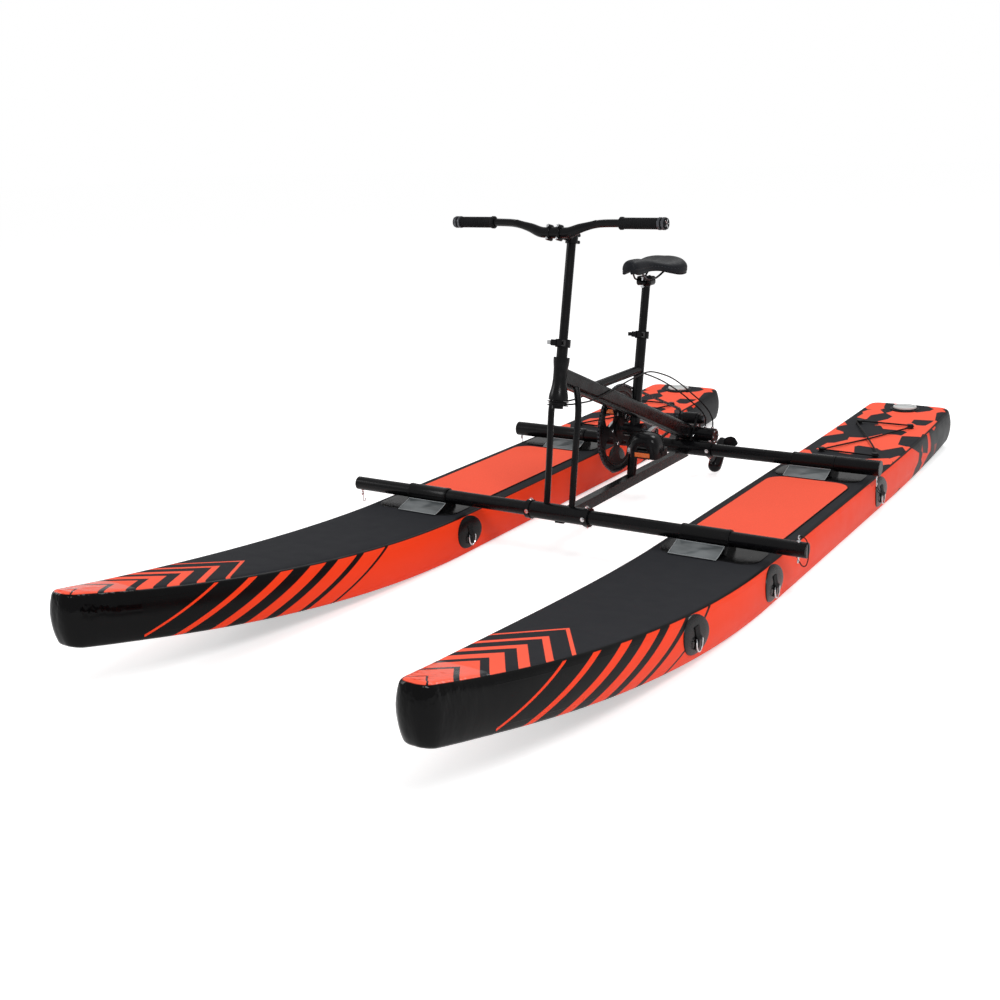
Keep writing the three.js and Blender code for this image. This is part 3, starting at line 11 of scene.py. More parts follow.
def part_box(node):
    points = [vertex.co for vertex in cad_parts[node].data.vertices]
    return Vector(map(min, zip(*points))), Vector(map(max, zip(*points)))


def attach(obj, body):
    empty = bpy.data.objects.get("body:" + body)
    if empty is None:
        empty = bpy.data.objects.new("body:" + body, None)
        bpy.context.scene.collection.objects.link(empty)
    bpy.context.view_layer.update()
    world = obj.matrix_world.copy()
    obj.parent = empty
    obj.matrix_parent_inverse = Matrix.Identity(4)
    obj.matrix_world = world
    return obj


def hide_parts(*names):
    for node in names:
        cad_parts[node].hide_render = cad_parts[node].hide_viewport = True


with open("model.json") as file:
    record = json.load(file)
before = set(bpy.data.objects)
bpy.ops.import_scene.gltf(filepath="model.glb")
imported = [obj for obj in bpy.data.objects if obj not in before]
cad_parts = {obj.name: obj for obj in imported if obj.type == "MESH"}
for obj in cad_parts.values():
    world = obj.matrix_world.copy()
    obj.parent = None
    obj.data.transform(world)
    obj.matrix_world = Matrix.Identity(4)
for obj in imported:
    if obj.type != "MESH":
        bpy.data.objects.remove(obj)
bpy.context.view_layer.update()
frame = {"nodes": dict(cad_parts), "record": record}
FULL_TURN = 2 * math.pi
QUARTER_TURN = math.pi / 2
SIDES = {"port": 1, "starboard": -1}
ACROSS = Vector((1, 0, 0))
UP = Vector((0, 0, 1))

# Camera, as the photograph was taken, with the focal length in pixels of its square frame
CAMERA_PLACE = Vector((1.8176, -3.4003, 1.2823))
CAMERA_AZIMUTH = math.radians(33.31)
CAMERA_PITCH = math.radians(16.44)
CAMERA_ROLL = math.radians(-2.02)
FOCAL_PIXELS = 1227.8
FRAME_PIXELS = 1000
SENSOR_WIDTH = 36

# Pontoon form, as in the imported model
HALF_LENGTH = 1.75
HULL_X = 0.508
HULL_DEPTH = 0.135
DECK_HALF_WIDTH = 0.175
SIDE_BULGE = 0.0135
TIP_HALF_WIDTH = 0.028
NOSE_RADIUS = 0.024
NOSE_END = -1.7337
BOW_TAPER = 1.45
BOW_TAPER_POWER = 2.4
BOW_ROCKER = 1.39
BOW_RISE = 0.178
BOW_ROCKER_POWER = 1.75
TAIL_LENGTH = 0.95
TAIL_RISE = 0.022
TAIL_HALF_WIDTH = 0.16
TAIL_CORNER = 0.04
TAIL_END = 1.736
EDGE_ROUND = 0.011
DECK_CROWN = 0.0015
WRAP_REACH = 0.17
WRAP_GROW = 0.0016
WRAP_FADE = 0.13
WRAP_FILM = 0.0003
WRAP_END = NOSE_END + WRAP_REACH + 0.001
WRAP_CREASE = 0.0011
FADE_FLOOR = 0.2
CREASE_MIDDLE = 0.15
CREASES = [((40, 45, 16), 1), ((110, 120, 30), 0.5)]
OUTLINE_STEPS = (36, 52, 36, 34)
CORNER_STEPS = 7
EDGE_STEPS = 4
WALL_STEPS = 8
HULL_COLUMNS = 10
BASE_SKIN = 0.16
WALL_LOW = 0.04
WALL_HIGH = 0.97
WALL_TURN = 0.9

# Places along the pontoons
FRONT_BEAM_Y = -0.31
REAR_BEAM_Y = 0.605
BEAM_Z = 0.178
BEAM_RADIUS = 0.0225
PATCH_HALF_LENGTH = 0.066
PATCH_HALF_HEIGHT = 0.052
PATCH_SHARE = 0.56
RING_SHARE = 0.5
RING_PLACES = {1: (-0.824, -0.33, 0.681), -1: (-0.33, 0.681)}
VALVE_Y = 1.65

# Sizes that many small forms share
CENTRE = 0.0003
LEAST_CORNER = 0.0005
STRAP_EDGE = 0.4
PRINT_EDGE = 0.0006


def tint(red, green, blue):
    """A colour given in screen values, as the linear colour that a shader takes."""
    linear = [((part / 255 + 0.055) / 1.055) ** 2.4 for part in (red, green, blue)]
    return (*linear, 1)


ORANGE = tint(247, 64, 26)
CORAL = tint(255, 96, 70)
SLATE = tint(34, 35, 39)
COAL = tint(18, 19, 22)
BLACK = tint(12, 12, 14)
DEEP_BLACK = tint(5, 5, 6)
PALE = tint(205, 207, 206)
SILVER = tint(205, 206, 208)
STEEL = tint(92, 94, 98)
DUST = tint(24, 24, 26)
# The clear flap's colours: a grey that stands for its painted sheen, a darker one for painted shade in its
# dents, and a lighter one for painted highlights on its crests
VINYL_SHEEN = tint(92, 96, 97)
VINYL_DENT_SHADE = tint(44, 48, 50)
VINYL_CREST_HIGHLIGHT = tint(104, 109, 111)


class Value:
    """A number or vector in a material's nodes, so that patterns read as sums."""

    def __init__(self, shader, socket):
        self.shader = shader
        self.socket = socket

    def sum(self, operation, *others):
        made = self.shader.node("ShaderNodeMath", dict(enumerate([self, *others])), operation=operation)
        return Value(self.shader, made.outputs[0])

    def __add__(self, other):
        return self.sum("ADD", other)

    def __sub__(self, other):
        return self.sum("SUBTRACT", other)

    def __mul__(self, other):
        return self.sum("MULTIPLY", other)

    def __truediv__(self, other):
        return self.sum("DIVIDE", other)

    def absolute(self):
        return self.sum("ABSOLUTE")

    def fraction(self):
        return self.sum("FRACT")

    def sine(self):
        return self.sum("SINE")

    def highest(self, other):
        return self.sum("MAXIMUM", other)

    def ramp(self, low, high, start=0, end=1):
        inputs = {0: self, 1: low, 2: high, 3: start, 4: end}
        made = self.shader.node("ShaderNodeMapRange", inputs, clamp=True)
        return Value(self.shader, made.outputs[0])

    def above(self, edge, softness=PRINT_EDGE):
        return (self - edge).ramp(-softness, softness)

    def below(self, edge, softness=PRINT_EDGE):
        return (self - edge).ramp(-softness, softness, 1, 0)


class Shader:
    """A material and its nodes."""

    def __init__(self, name, color, roughness, metallic=0, coat=0, coat_roughness=0.1, sheen=0,
                 specular=0.5):
        self.material = bpy.data.materials.new(name)
        self.material.use_nodes = True
        self.tree = self.material.node_tree
        self.tree.nodes.clear()
        output = self.node("ShaderNodeOutputMaterial")
        self.surface = self.node("ShaderNodeBsdfPrincipled")
        self.tree.links.new(self.surface.outputs[0], output.inputs[0])
        self.set("Base Color", color)
        self.set("Roughness", roughness)
        self.set("Metallic", metallic)
        self.set("Coat Weight", coat)
        self.set("Coat Roughness", coat_roughness)
        self.set("Sheen Weight", sheen)
        self.set("Specular IOR Level", specular)

    def node(self, kind, inputs=None, **settings):
        made = self.tree.nodes.new(kind)
        for key, value in settings.items():
            setattr(made, key, value)
        for key, value in (inputs or {}).items():
            self.feed(made.inputs[key], value)
        return made

    def feed(self, socket, value):
        if isinstance(value, Value):
            self.tree.links.new(value.socket, socket)
        else:
            socket.default_value = value

    def set(self, key, value):
        self.feed(self.surface.inputs[key], value)

    def place(self):
        """Place on the object, in metres."""
        return Value(self, self.node("ShaderNodeTexCoord").outputs["Object"])

    def attribute(self, name):
        return Value(self, self.node("ShaderNodeAttribute", attribute_name=name).outputs["Vector"])

    def split(self, vector):
        made = self.node("ShaderNodeSeparateXYZ", {0: vector})
        return [Value(self, output) for output in made.outputs]

    def gather(self, x, y, z=0):
        return Value(self, self.node("ShaderNodeCombineXYZ", {0: x, 1: y, 2: z}).outputs[0])

    def mix(self, share, first, second):
        made = self.node("ShaderNodeMix", {0: share, 6: first, 7: second}, data_type="RGBA")
        return Value(self, made.outputs[2])

    def cloud(self, scale, detail=3, vector=None, roughness=0.5):
        inputs = {"Vector": vector or self.place(), "Scale": scale, "Detail": detail, "Roughness": roughness}
        return Value(self, self.node("ShaderNodeTexNoise", inputs).outputs[0])

    def cells(self, scale, vector=None, feature="F1", output="Distance", randomness=1):
        inputs = {"Vector": vector or self.place(), "Scale": scale, "Randomness": randomness}
        return Value(self, self.node("ShaderNodeTexVoronoi", inputs, feature=feature).outputs[output])

    def bump(self, height, distance, strength=1):
        made = self.node("ShaderNodeBump", {"Height": height, "Distance": distance, "Strength": strength})
        if self.surface.inputs["Normal"].links:
            self.tree.links.new(self.surface.inputs["Normal"].links[0].from_socket, made.inputs["Normal"])
        self.tree.links.new(made.outputs[0], self.surface.inputs["Normal"])


# Print on the pontoons. Bars are (pitch, (from, to, their share there, and here), end, blur)
DECK_SLANT = 1.5
DECK_BARS = (0.105, (-1.72, -1.05, 0.97, 0.04), -1.06, 0.012)
SIDE_SLANT = 1.9
SIDE_BARS = (0.105 * 1.15, (-1.46, -0.66, 1.04, 0.06), -0.7, 0.01)
TAIL_CELLS = 13
TAIL_CELL_JITTER = 0.9
TAIL_CELL_SQUEEZE = (0.75, 1.2)
TAIL_CELL_BLUR = 0.01
TAIL_SHARE = (0.9, 1.4, 1.0, 0.35)
TAIL_PLAIN = (1.46, 0.001)
MIDDLE_START = FRONT_BEAM_Y + 0.02
TAIL_START = REAR_BEAM_Y + 0.07
DECK_EDGE = 0.004
BORDER_DEPTH = 0.005
BORDER_HALF_WIDTH = 0.0022
BASE_DEPTH = (0.150, 0.002)
SEAM_DEPTHS = (0.022, 0.112)
SEAM_HALF_WIDTH = 0.0008
FOAM_DEPTH = 0.003

# Fine waves, in radians a metre
FOAM_WAVES = 1050
WEAVE_WAVES = 2600
RUBBER_WAVES = 1500
LENS_WAVES = 1800


def print_bars(slant, pitch, share, end, blur):
    """Bars that take up less and less of their pitch along a slant."""
    return (slant.ramp(*share) - (slant / pitch).fraction()).above(0, blur) * slant.below(end)


def print_pattern(shader):
    """The pontoon's print: bars at the bow, a bordered middle and angular patches at the tail."""
    y, across, depth = shader.split(shader.attribute("skin"))
    bow_deck = shader.mix(print_bars(y + across.absolute() * DECK_SLANT - depth, *DECK_BARS), SLATE, CORAL)
    bow_side = shader.mix(print_bars(y + depth * SIDE_SLANT, *SIDE_BARS), ORANGE, DEEP_BLACK)
    along, up = TAIL_CELL_SQUEEZE
    cell = shader.cells(TAIL_CELLS, shader.gather(y * along, across, depth * up), output="Color",
                        randomness=TAIL_CELL_JITTER)
    lot = Value(shader, shader.node("ShaderNodeSeparateColor", {0: cell}).outputs[0])
    tail_deck = shader.mix(lot.above(0.5, TAIL_CELL_BLUR), CORAL, SLATE)
    side_patch = (lot - y.ramp(*TAIL_SHARE)).above(0, TAIL_CELL_BLUR)
    tail_side = shader.mix(side_patch.highest(y.above(*TAIL_PLAIN)), ORANGE, COAL)
    deck = shader.mix(y.above(TAIL_START), shader.mix(y.above(MIDDLE_START), bow_deck, SLATE), tail_deck)
    side = shader.mix(y.above(0), bow_side, tail_side)
    border = (depth - BORDER_DEPTH).absolute().below(BORDER_HALF_WIDTH)
    outer = shader.mix(border, shader.mix(depth.above(DECK_EDGE), deck, side), DEEP_BLACK)
    return shader.mix(depth.above(*BASE_DEPTH), outer, BLACK), depth, y


# Materials. A cloud takes (scale, detail), and a bump takes (height, distance in metres, strength)
def foam_dots(shader):
    """A grid of small raised dots."""
    x, y, z = shader.split(shader.place())
    return (x * FOAM_WAVES).sine() * (y * FOAM_WAVES).sine()


def hull_print():
    shader = Shader("hull_print", ORANGE, 0.42, specular=0.12)
    color, depth, y = print_pattern(shader)
    shader.set("Base Color", color)
    top = depth.below(FOAM_DEPTH)
    gloss = y.ramp(-1.7, -0.9, 0.12, 0.34).highest(top * 0.64)
    shader.set("Roughness", gloss + shader.cloud(18) * 0.12)
    shader.bump(foam_dots(shader) * top, 0.00025, 0.35)
    shader.bump(shader.cloud(900, 2), 0.0001, 0.4)
    shader.bump(shader.cloud(7, 2), 0.006, 0.35)
    upper, lower = [(depth - seam).absolute().below(SEAM_HALF_WIDTH) for seam in SEAM_DEPTHS]
    shader.bump(upper + lower, 0.0004, 0.6)
    return shader.material


def wrap_film():
    """Glossy film round the nose, with creases that fade out towards its edges."""
    shader = Shader("wrap_film", BLACK, 0.14, specular=0.12)
    color, depth, y = print_pattern(shader)
    shader.set("Base Color", shader.mix(depth.above(DECK_EDGE), color, DEEP_BLACK))
    shader.set("Roughness", shader.cloud(30) * 0.14 + 0.05)
    x_place, y_place, z_place = shader.split(shader.place())
    creases = shader.cloud(26, 3, shader.gather(x_place, y_place, z_place * 0.45), 0.55)
    fade = y.ramp(NOSE_END + 0.02, NOSE_END + WRAP_REACH - 0.01, 1, 0) * depth.ramp(0.01, 0.09, 1, 0.25)
    shader.bump(creases * fade, 0.012, 0.6)
    return shader.material


def shade(color, share, lift=0.0):
    """A darker or lighter shade of a colour."""
    return (*[part * share + lift for part in color[:3]], 1)


def foam(name, color):
    shader = Shader(name, color, 0.78, specular=0.12)
    speck = shader.cloud(420, 2)
    shader.set("Base Color", shader.mix(speck.ramp(0.35, 0.7), color, shade(color, 0.9)))
    shader.bump(foam_dots(shader), 0.0003, 0.4)
    shader.bump(speck, 0.0003, 0.3)
    return shader.material


def paint(name, color, roughness=0.34):
    """Powder coat: a faint orange peel, and a little dust and rubbing."""
    shader = Shader(name, color, roughness, coat=0.05, specular=0.15)
    rub = shader.cloud(26, 5, roughness=0.65)
    shader.set("Roughness", rub.ramp(0.3, 0.75, roughness - 0.1, roughness + 0.14))
    shader.set("Base Color", shader.mix(rub.ramp(0.55, 0.8), color, shade(color, 1.5, 0.001)))
    shader.bump(shader.cloud(520, 2), 0.00016, 0.35)
    return shader.material


def webbing(name, color):
    """Woven tape, with painted shade in the dips between its threads."""
    shader = Shader(name, color, 0.7, sheen=0.05, specular=0.12)
    x, y, z = shader.split(shader.place())
    weave = (x * WEAVE_WAVES).sine() * ((y + z) * WEAVE_WAVES).sine()
    # Painted shade: the dips of the weave are darkened towards deep black
    shader.set("Base Color", shader.mix(weave.ramp(-1, 1), DEEP_BLACK, color))
    shader.bump(weave, 0.0004, 0.6)
    shader.bump(shader.cloud(300, 3), 0.0003, 0.3)
    return shader.material


def plastic(name, color, roughness=0.45, specular=0.16):
    shader = Shader(name, color, roughness, specular=specular)
    shader.set("Roughness", shader.cloud(45, 4) * 0.22 + (roughness - 0.1))
    shader.bump(shader.cells(1500), 0.00012, 0.45)
    return shader.material


def rubber(name, color):
    """Dusty moulded rubber with a fine ribbing."""
    shader = Shader(name, color, 0.7, sheen=0.02, specular=0.13)
    x, y, z = shader.split(shader.place())
    shader.set("Base Color", shader.mix(shader.cloud(34, 5).ramp(0.5, 0.85), color, DUST))
    shader.bump((x * RUBBER_WAVES).sine() + ((y - z) * RUBBER_WAVES).sine(), 0.0003, 0.35)
    shader.bump(shader.cloud(700, 2), 0.0002, 0.4)
    return shader.material


def metal(name, color, roughness):
    """Bare metal with fine streaks, scuffs and a slightly uneven gloss."""
    shader = Shader(name, color, roughness, 1)
    x, y, z = shader.split(shader.place())
    streaks = shader.cloud(1, 3, shader.gather(x * 900, y * 30, z * 30))
    scuffs = shader.cloud(70, 5, roughness=0.7)
    shader.set("Roughness", scuffs.ramp(0.3, 0.8, roughness * 0.7, roughness * 1.5))
    shader.set("Base Color", shader.mix(scuffs.ramp(0.45, 0.8) * 0.5, color, shade(color, 0.55)))
    shader.bump(streaks, 0.00008, 0.4)
    return shader.material


def leather(name, color):
    shader = Shader(name, color, 0.44, sheen=0.02, specular=0.17)
    wrinkle = shader.cloud(80, 5)
    shader.set("Roughness", wrinkle * 0.25 + 0.38)
    shader.set("Base Color", shader.mix(wrinkle.ramp(0.5, 0.8), color, shade(color, 1.6)))
    shader.bump(shader.cells(620, feature="SMOOTH_F1"), 0.00035, 0.5)
    shader.bump(wrinkle, 0.0008, 0.35)
    return shader.material


def clear_vinyl(name):
    """Glossy sheet over a black patch, painted grey for its sheen, with painted shade in its soft dents and
    painted highlights on its crests.
    """
    shader = Shader(name, VINYL_SHEEN, 0.12, coat=0.5, coat_roughness=0.05)
    x, y, z = shader.split(shader.place())
    dents = shader.cloud(1, 2, shader.gather(x * 9, y * 26, z * 26))
    # Painted shade in the dents and painted highlights on the crests
    shader.set("Base Color", shader.mix(dents.ramp(0.3, 0.7), VINYL_DENT_SHADE, VINYL_CREST_HIGHLIGHT))
    shader.bump(dents, 0.003, 0.5)
    return shader.material


def lens(name, color):
    """Moulded reflector plastic with a prism pattern."""
    shader = Shader(name, color, 0.12, coat=0.7)
    x, y, z = shader.split(shader.place())
    shader.bump((x * LENS_WAVES).sine() * (z * LENS_WAVES).sine(), 0.0005, 0.8)
    shader.set("Base Color", shader.mix(shader.cells(500), color, shade(color, 0.6)))
    return shader.material


MATERIALS = {
    "hull_skin": hull_print(),
    "black_skin": wrap_film(),
    "pad_foam": foam("pad_foam", CORAL),
    # black for a painted shade along the pad's bevelled rim
    "pad_rim_shade": foam("pad_rim_shade", BLACK),
    "black_paint": paint("black_paint", tint(10, 10, 12), 0.26),
    "black_steel": paint("black_steel", tint(14, 14, 16), 0.34),
    "black_webbing": webbing("black_webbing", tint(18, 18, 20)),
    "black_plastic": plastic("black_plastic", tint(13, 13, 15)),
    "black_rubber": rubber("black_rubber", tint(13, 13, 15)),
    "pale_cap": plastic("pale_cap", PALE, 0.5),
    "silver_alloy": metal("silver_alloy", SILVER, 0.26),
    "bright_steel": metal("bright_steel", tint(222, 223, 225), 0.16),
    "dark_steel": metal("dark_steel", STEEL, 0.34),
    "saddle_cover": leather("saddle_cover", tint(17, 19, 24)),
    "vinyl": clear_vinyl("vinyl"),
    "reflector": lens("reflector", tint(240, 110, 20)),
    "black_rubber_gloss": plastic("black_rubber_gloss", tint(14, 14, 15), 0.22),
    "gloss_plastic": plastic("gloss_plastic", tint(12, 12, 14), 0.18),
    "cable_jacket": plastic("cable_jacket", tint(8, 8, 9), 0.34, 0.12),
    "chain_steel": metal("chain_steel", tint(70, 72, 76), 0.3),
    # pale grey for a painted highlight along the clear flap's edge
    "painted_edge_highlight": plastic("painted_edge_highlight", tint(138, 142, 144), 0.14, 0.5),
    "pale_thread": plastic("pale_thread", tint(70, 72, 78), 0.6),
}


# Mesh helpers
def link_mesh(name, places, faces):
    mesh = bpy.data.meshes.new(name)
    mesh.from_pydata([tuple(place) for place in places], [], faces)
    mesh.validate()
    made = bpy.data.objects.new(name, mesh)
    bpy.context.scene.collection.objects.link(made)
    return made


def face_outwards(made):
    """Turns every face outwards, and drops the places that no face uses."""
    surface = bmesh.new()
    surface.from_mesh(made.data)
    loose = [vertex for vertex in surface.verts if not vertex.link_faces]
    bmesh.ops.delete(surface, geom=loose, context="VERTS")
    bmesh.ops.recalc_face_normals(surface, faces=surface.faces)
    surface.to_mesh(made.data)
    surface.free()


def settle(made, body, slot, material=None, replaced=()):
    """Gives a piece its material, that of its record slot unless another is named, and the body it rides on.
    """
    made.data.materials.clear()
    made.data.materials.append(MATERIALS[material or slot])
    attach(made, body)
    if replaced:
        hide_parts(*replaced)
    return made


SHARP_ANGLE = math.radians(32)


def refining_nodes():
    """Rounds off a faceted mesh: soft angles become curved, and sharp edges stay sharp."""
    group = bpy.data.node_groups.new("refine", "GeometryNodeTree")
    group.interface.new_socket("Geometry", in_out="INPUT", socket_type="NodeSocketGeometry")
    level = group.interface.new_socket("Level", in_out="INPUT", socket_type="NodeSocketInt")
    level.default_value = 2
    group.interface.new_socket("Geometry", in_out="OUTPUT", socket_type="NodeSocketGeometry")
    start = group.nodes.new("NodeGroupInput")
    end = group.nodes.new("NodeGroupOutput")
    angle = group.nodes.new("GeometryNodeInputMeshEdgeAngle")
    sharp = group.nodes.new("FunctionNodeCompare")
    sharp.inputs[1].default_value = SHARP_ANGLE
    rounded = group.nodes.new("GeometryNodeSubdivisionSurface")
    faces = group.nodes.new("GeometryNodeSetShadeSmooth")
    edges = group.nodes.new("GeometryNodeSetShadeSmooth")
    edges.domain = "EDGE"
    new_angle = group.nodes.new("GeometryNodeInputMeshEdgeAngle")
    soft = group.nodes.new("FunctionNodeCompare")
    soft.operation = "LESS_THAN"
    soft.inputs[1].default_value = SHARP_ANGLE
    joins = [
        (angle.outputs[0], sharp.inputs[0]),
        (start.outputs[0], rounded.inputs[0]),
        (start.outputs[1], rounded.inputs[1]),
        (sharp.outputs[0], rounded.inputs[2]),
        (rounded.outputs[0], faces.inputs[0]),
        (faces.outputs[0], edges.inputs[0]),
        (new_angle.outputs[0], soft.inputs[0]),
        (soft.outputs[0], edges.inputs[2]),
        (edges.outputs[0], end.inputs[0]),
    ]
    for first, second in joins:
        group.links.new(first, second)
    return group


REFINE = refining_nodes()


WELD_DISTANCE = 0.00002
FLAT_ANGLE = math.radians(1)


def refine(made, level=2, weld=True):
    """Joins up a faceted mesh, and rounds it off by the given level of subdivision."""
    if weld:
        made.modifiers.new("weld", "WELD").merge_threshold = WELD_DISTANCE
        flat = made.modifiers.new("flat", "DECIMATE")
        flat.decimate_type = "DISSOLVE"
        flat.angle_limit = FLAT_ANGLE
        made.modifiers.new("split", "TRIANGULATE").min_vertices = 5
    modifier = made.modifiers.new("refine", "NODES")
    modifier.node_group = REFINE
    modifier["Socket_1"] = level
    return made


def bevel(made, width, segments=2):
    modifier = made.modifiers.new("bevel", "BEVEL")
    modifier.width = width
    modifier.segments = segments
    modifier.limit_method = "ANGLE"
    modifier.angle_limit = SHARP_ANGLE
    return made


def shaded(made):
    """Smooth faces, with sharp edges kept."""
    return refine(made, 0, weld=False)


def grid(columns, rows, wrap_columns=False, wrap_rows=False):
    """Faces of a grid of places that are listed row by row."""
    faces = []
    for row in range(rows if wrap_rows else rows - 1):
        low, high = columns * row, columns * ((row + 1) % rows)
        for column in range(columns if wrap_columns else columns - 1):
            beside = (column + 1) % columns
            faces.append([low + column, low + beside, high + beside, high + column])
    return faces


def circle(centre, first, second, steps):
    """Places round a centre, from its first reach towards its second."""
    turns = [FULL_TURN * step / steps for step in range(steps)]
    return [centre + first * math.cos(turn) + second * math.sin(turn) for turn in turns]


def headings(points, closed):
    """Each point of a line, with the line's direction there."""
    points = [Vector(point) for point in points]
    last = len(points) - 1
    for index, point in enumerate(points):
        before = points[index - 1] if index or closed else point
        after = points[(index + 1) % len(points)] if index < last or closed else point
        yield point, (after - before).normalized()


def disc(radius, low, high):
    """Profile of a plain disc or pin."""
    return [(CENTRE, low), (radius, low), (radius, high), (CENTRE, high)]


def barrel(radius, low, high, ease, rim):
    """Profile of a disc or pin with eased rims."""
    side = [(radius - ease, low), (radius, low + rim), (radius, high - rim), (radius - ease, high)]
    return [(CENTRE, low), *side, (CENTRE, high)]


class Build:
    """Collects simple closed forms into one mesh."""

    def __init__(self):
        self.places = []
        self.faces = []

    def add(self, places, faces):
        start = len(self.places)
        self.places.extend(Vector(place) for place in places)
        self.faces.extend([start + corner for corner in face] for face in faces)
        return self

    def rings(self, rings, loop=False):
        """Skins a row of rings, and closes its ends unless it is a loop."""
        columns = len(rings[0])
        places = [place for ring in rings for place in ring]
        faces = grid(columns, len(rings), wrap_columns=True, wrap_rows=loop)
        if not loop:
            faces.append(list(range(columns))[::-1])
            faces.append([len(places) - columns + column for column in range(columns)])
        return self.add(places, faces)

    def revolve(self, profile, place, axis, sides=32, loop=False):
        """Turns (radius, along) pairs about an axis through a place."""
        axis = Vector(axis).normalized()
        first = axis.orthogonal().normalized()
        second = axis.cross(first)
        place = Vector(place)
        rings = [circle(place + axis * along, first * radius, second * radius, sides)
                 for radius, along in profile]
        return self.rings(rings, loop)

    def tube(self, points, radius, sides=12, closed=False):
        """Sweeps a round section along points, with one radius or one for each point."""
        radii = radius if isinstance(radius, list) else [radius] * len(points)
        rings = []
        normal = None
        for (point, heading), reach in zip(headings(points, closed), radii):
            if normal is None:
                normal = heading.orthogonal()
            normal = (normal - heading * normal.dot(heading)).normalized()
            rings.append(circle(point, normal * reach, heading.cross(normal) * reach, sides))
        return self.rings(rings, closed)

    def strap(self, points, width, thickness, across):
        """A flat band that follows points, with its width along a fixed direction."""
        across = Vector(across).normalized()
        half = across * (width / 2)
        lean = across * (thickness / 3)
        rings = []
        for point, heading in headings(points, False):
            lift = heading.cross(across).normalized() * (thickness / 2)
            edge = lift * STRAP_EDGE
            rings.append([point + half - edge, point + half - lean + lift, point - half + lean + lift,
                          point - half - edge, point - half + lean - lift, point + half - lean - lift])
        return self.rings(rings)

    def shell(self, outer, inner, columns):
        """Closes two equal grids of places into a thin sheet, and returns the places round its rim."""
        total = len(outer)
        rows = total // columns
        front = grid(columns, rows)
        back = [[corner + total for corner in face[::-1]] for face in front]
        rim = [*range(columns), *[columns * row + columns - 1 for row in range(1, rows)],
               *[total - 1 - column for column in range(1, columns)],
               *[columns * row for row in range(rows - 2, 0, -1)]]
        pairs = zip(rim, rim[1:] + rim[:1])
        edge = [[corner, after, after + total, corner + total] for corner, after in pairs]
        self.add([*outer, *inner], front + back + edge)
        return [Vector(outer[corner]) for corner in rim]

    def block(self, low, high):
        low, high = Vector(low), Vector(high)
        rings = [[(low.x, low.y, z), (high.x, low.y, z), (high.x, high.y, z), (low.x, high.y, z)]
                 for z in (low.z, high.z)]
        return self.rings(rings)

    def piece(self, name, body, slot, material=None, replaced=()):
        made = link_mesh(name, self.places, self.faces)
        face_outwards(made)
        return shaded(settle(made, body, slot, material, replaced))


def path_length(points):
    return sum((end - start).length for start, end in zip(points, points[1:]))


def curve_through(points, steps):
    """Points on a smooth line through the given ones."""
    points = [Vector(point) for point in points]
    padded = [points[0] * 2 - points[1], *points, points[-1] * 2 - points[-2]]
    made = []
    for index in range(len(points) - 1):
        before, start, end, after = padded[index:index + 4]
        for step in range(steps):
            share = step / steps
            made.append(0.5 * (2 * start + (end - before) * share
                               + (2 * before - 5 * start + 4 * end - after) * share ** 2
                               + (3 * start - before - 3 * end + after) * share ** 3))
    made.append(points[-1])
    return made


# Pontoon skin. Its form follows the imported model's
def bow_share(y, reach):
    return max(0, (reach - HALF_LENGTH - y) / reach)


def tail_share(y, reach):
    return max(0, (y - HALF_LENGTH + reach) / reach)


def half_width(y):
    bow = (DECK_HALF_WIDTH - TIP_HALF_WIDTH) * bow_share(y, BOW_TAPER) ** BOW_TAPER_POWER
    tail = (DECK_HALF_WIDTH - TAIL_HALF_WIDTH) * tail_share(y, TAIL_LENGTH) ** 2
    return DECK_HALF_WIDTH - bow - tail


def rise(y):
    bow = BOW_RISE * bow_share(y, BOW_ROCKER) ** BOW_ROCKER_POWER
    return bow + TAIL_RISE * tail_share(y, TAIL_LENGTH) ** 2


def bulge(share):
    return 4 * SIDE_BULGE * share * (1 - share)


def rounded_corner(radius, steps):
    """How far in along each of a corner's two sides its rounding lies, step by step."""
    turns = [QUARTER_TURN * step / steps for step in range(steps)]
    return [(radius * (1 - math.cos(turn)), radius * (1 - math.sin(turn))) for turn in turns]


def half_outline():
    """(x, y) places down one side of the hull's plan, from the nose to the tail."""
    points = []
    for back, inwards in rounded_corner(NOSE_RADIUS, CORNER_STEPS):
        y = NOSE_END + back
        points.append((half_width(y) - inwards, y))
    ends = [NOSE_END + NOSE_RADIUS, NOSE_END + WRAP_REACH, BOW_TAPER - HALF_LENGTH,
            HALF_LENGTH - TAIL_LENGTH, TAIL_END - TAIL_CORNER]
    for start, end, steps in zip(ends, ends[1:], OUTLINE_STEPS):
        for step in range(steps):
            y = start + (end - start) * step / steps
            points.append((half_width(y), y))
    for inwards, back in [*rounded_corner(TAIL_CORNER, CORNER_STEPS), (TAIL_CORNER, 0)]:
        y = TAIL_END - back
        points.append((half_width(y) - inwards, y))
    return points


def wall_profile():
    """(reach out, height) pairs up the side wall, with rolled edges."""
    pairs = []
    for height, inwards in rounded_corner(EDGE_ROUND, EDGE_STEPS):
        pairs.append((bulge(height / HULL_DEPTH) - inwards, height))
    for step in range(WALL_STEPS + 1):
        height = EDGE_ROUND + (HULL_DEPTH - 2 * EDGE_ROUND) * step / WALL_STEPS
        pairs.append((bulge(height / HULL_DEPTH), height))
    return pairs + [(reach, HULL_DEPTH - height) for reach, height in pairs[:EDGE_STEPS][::-1]]


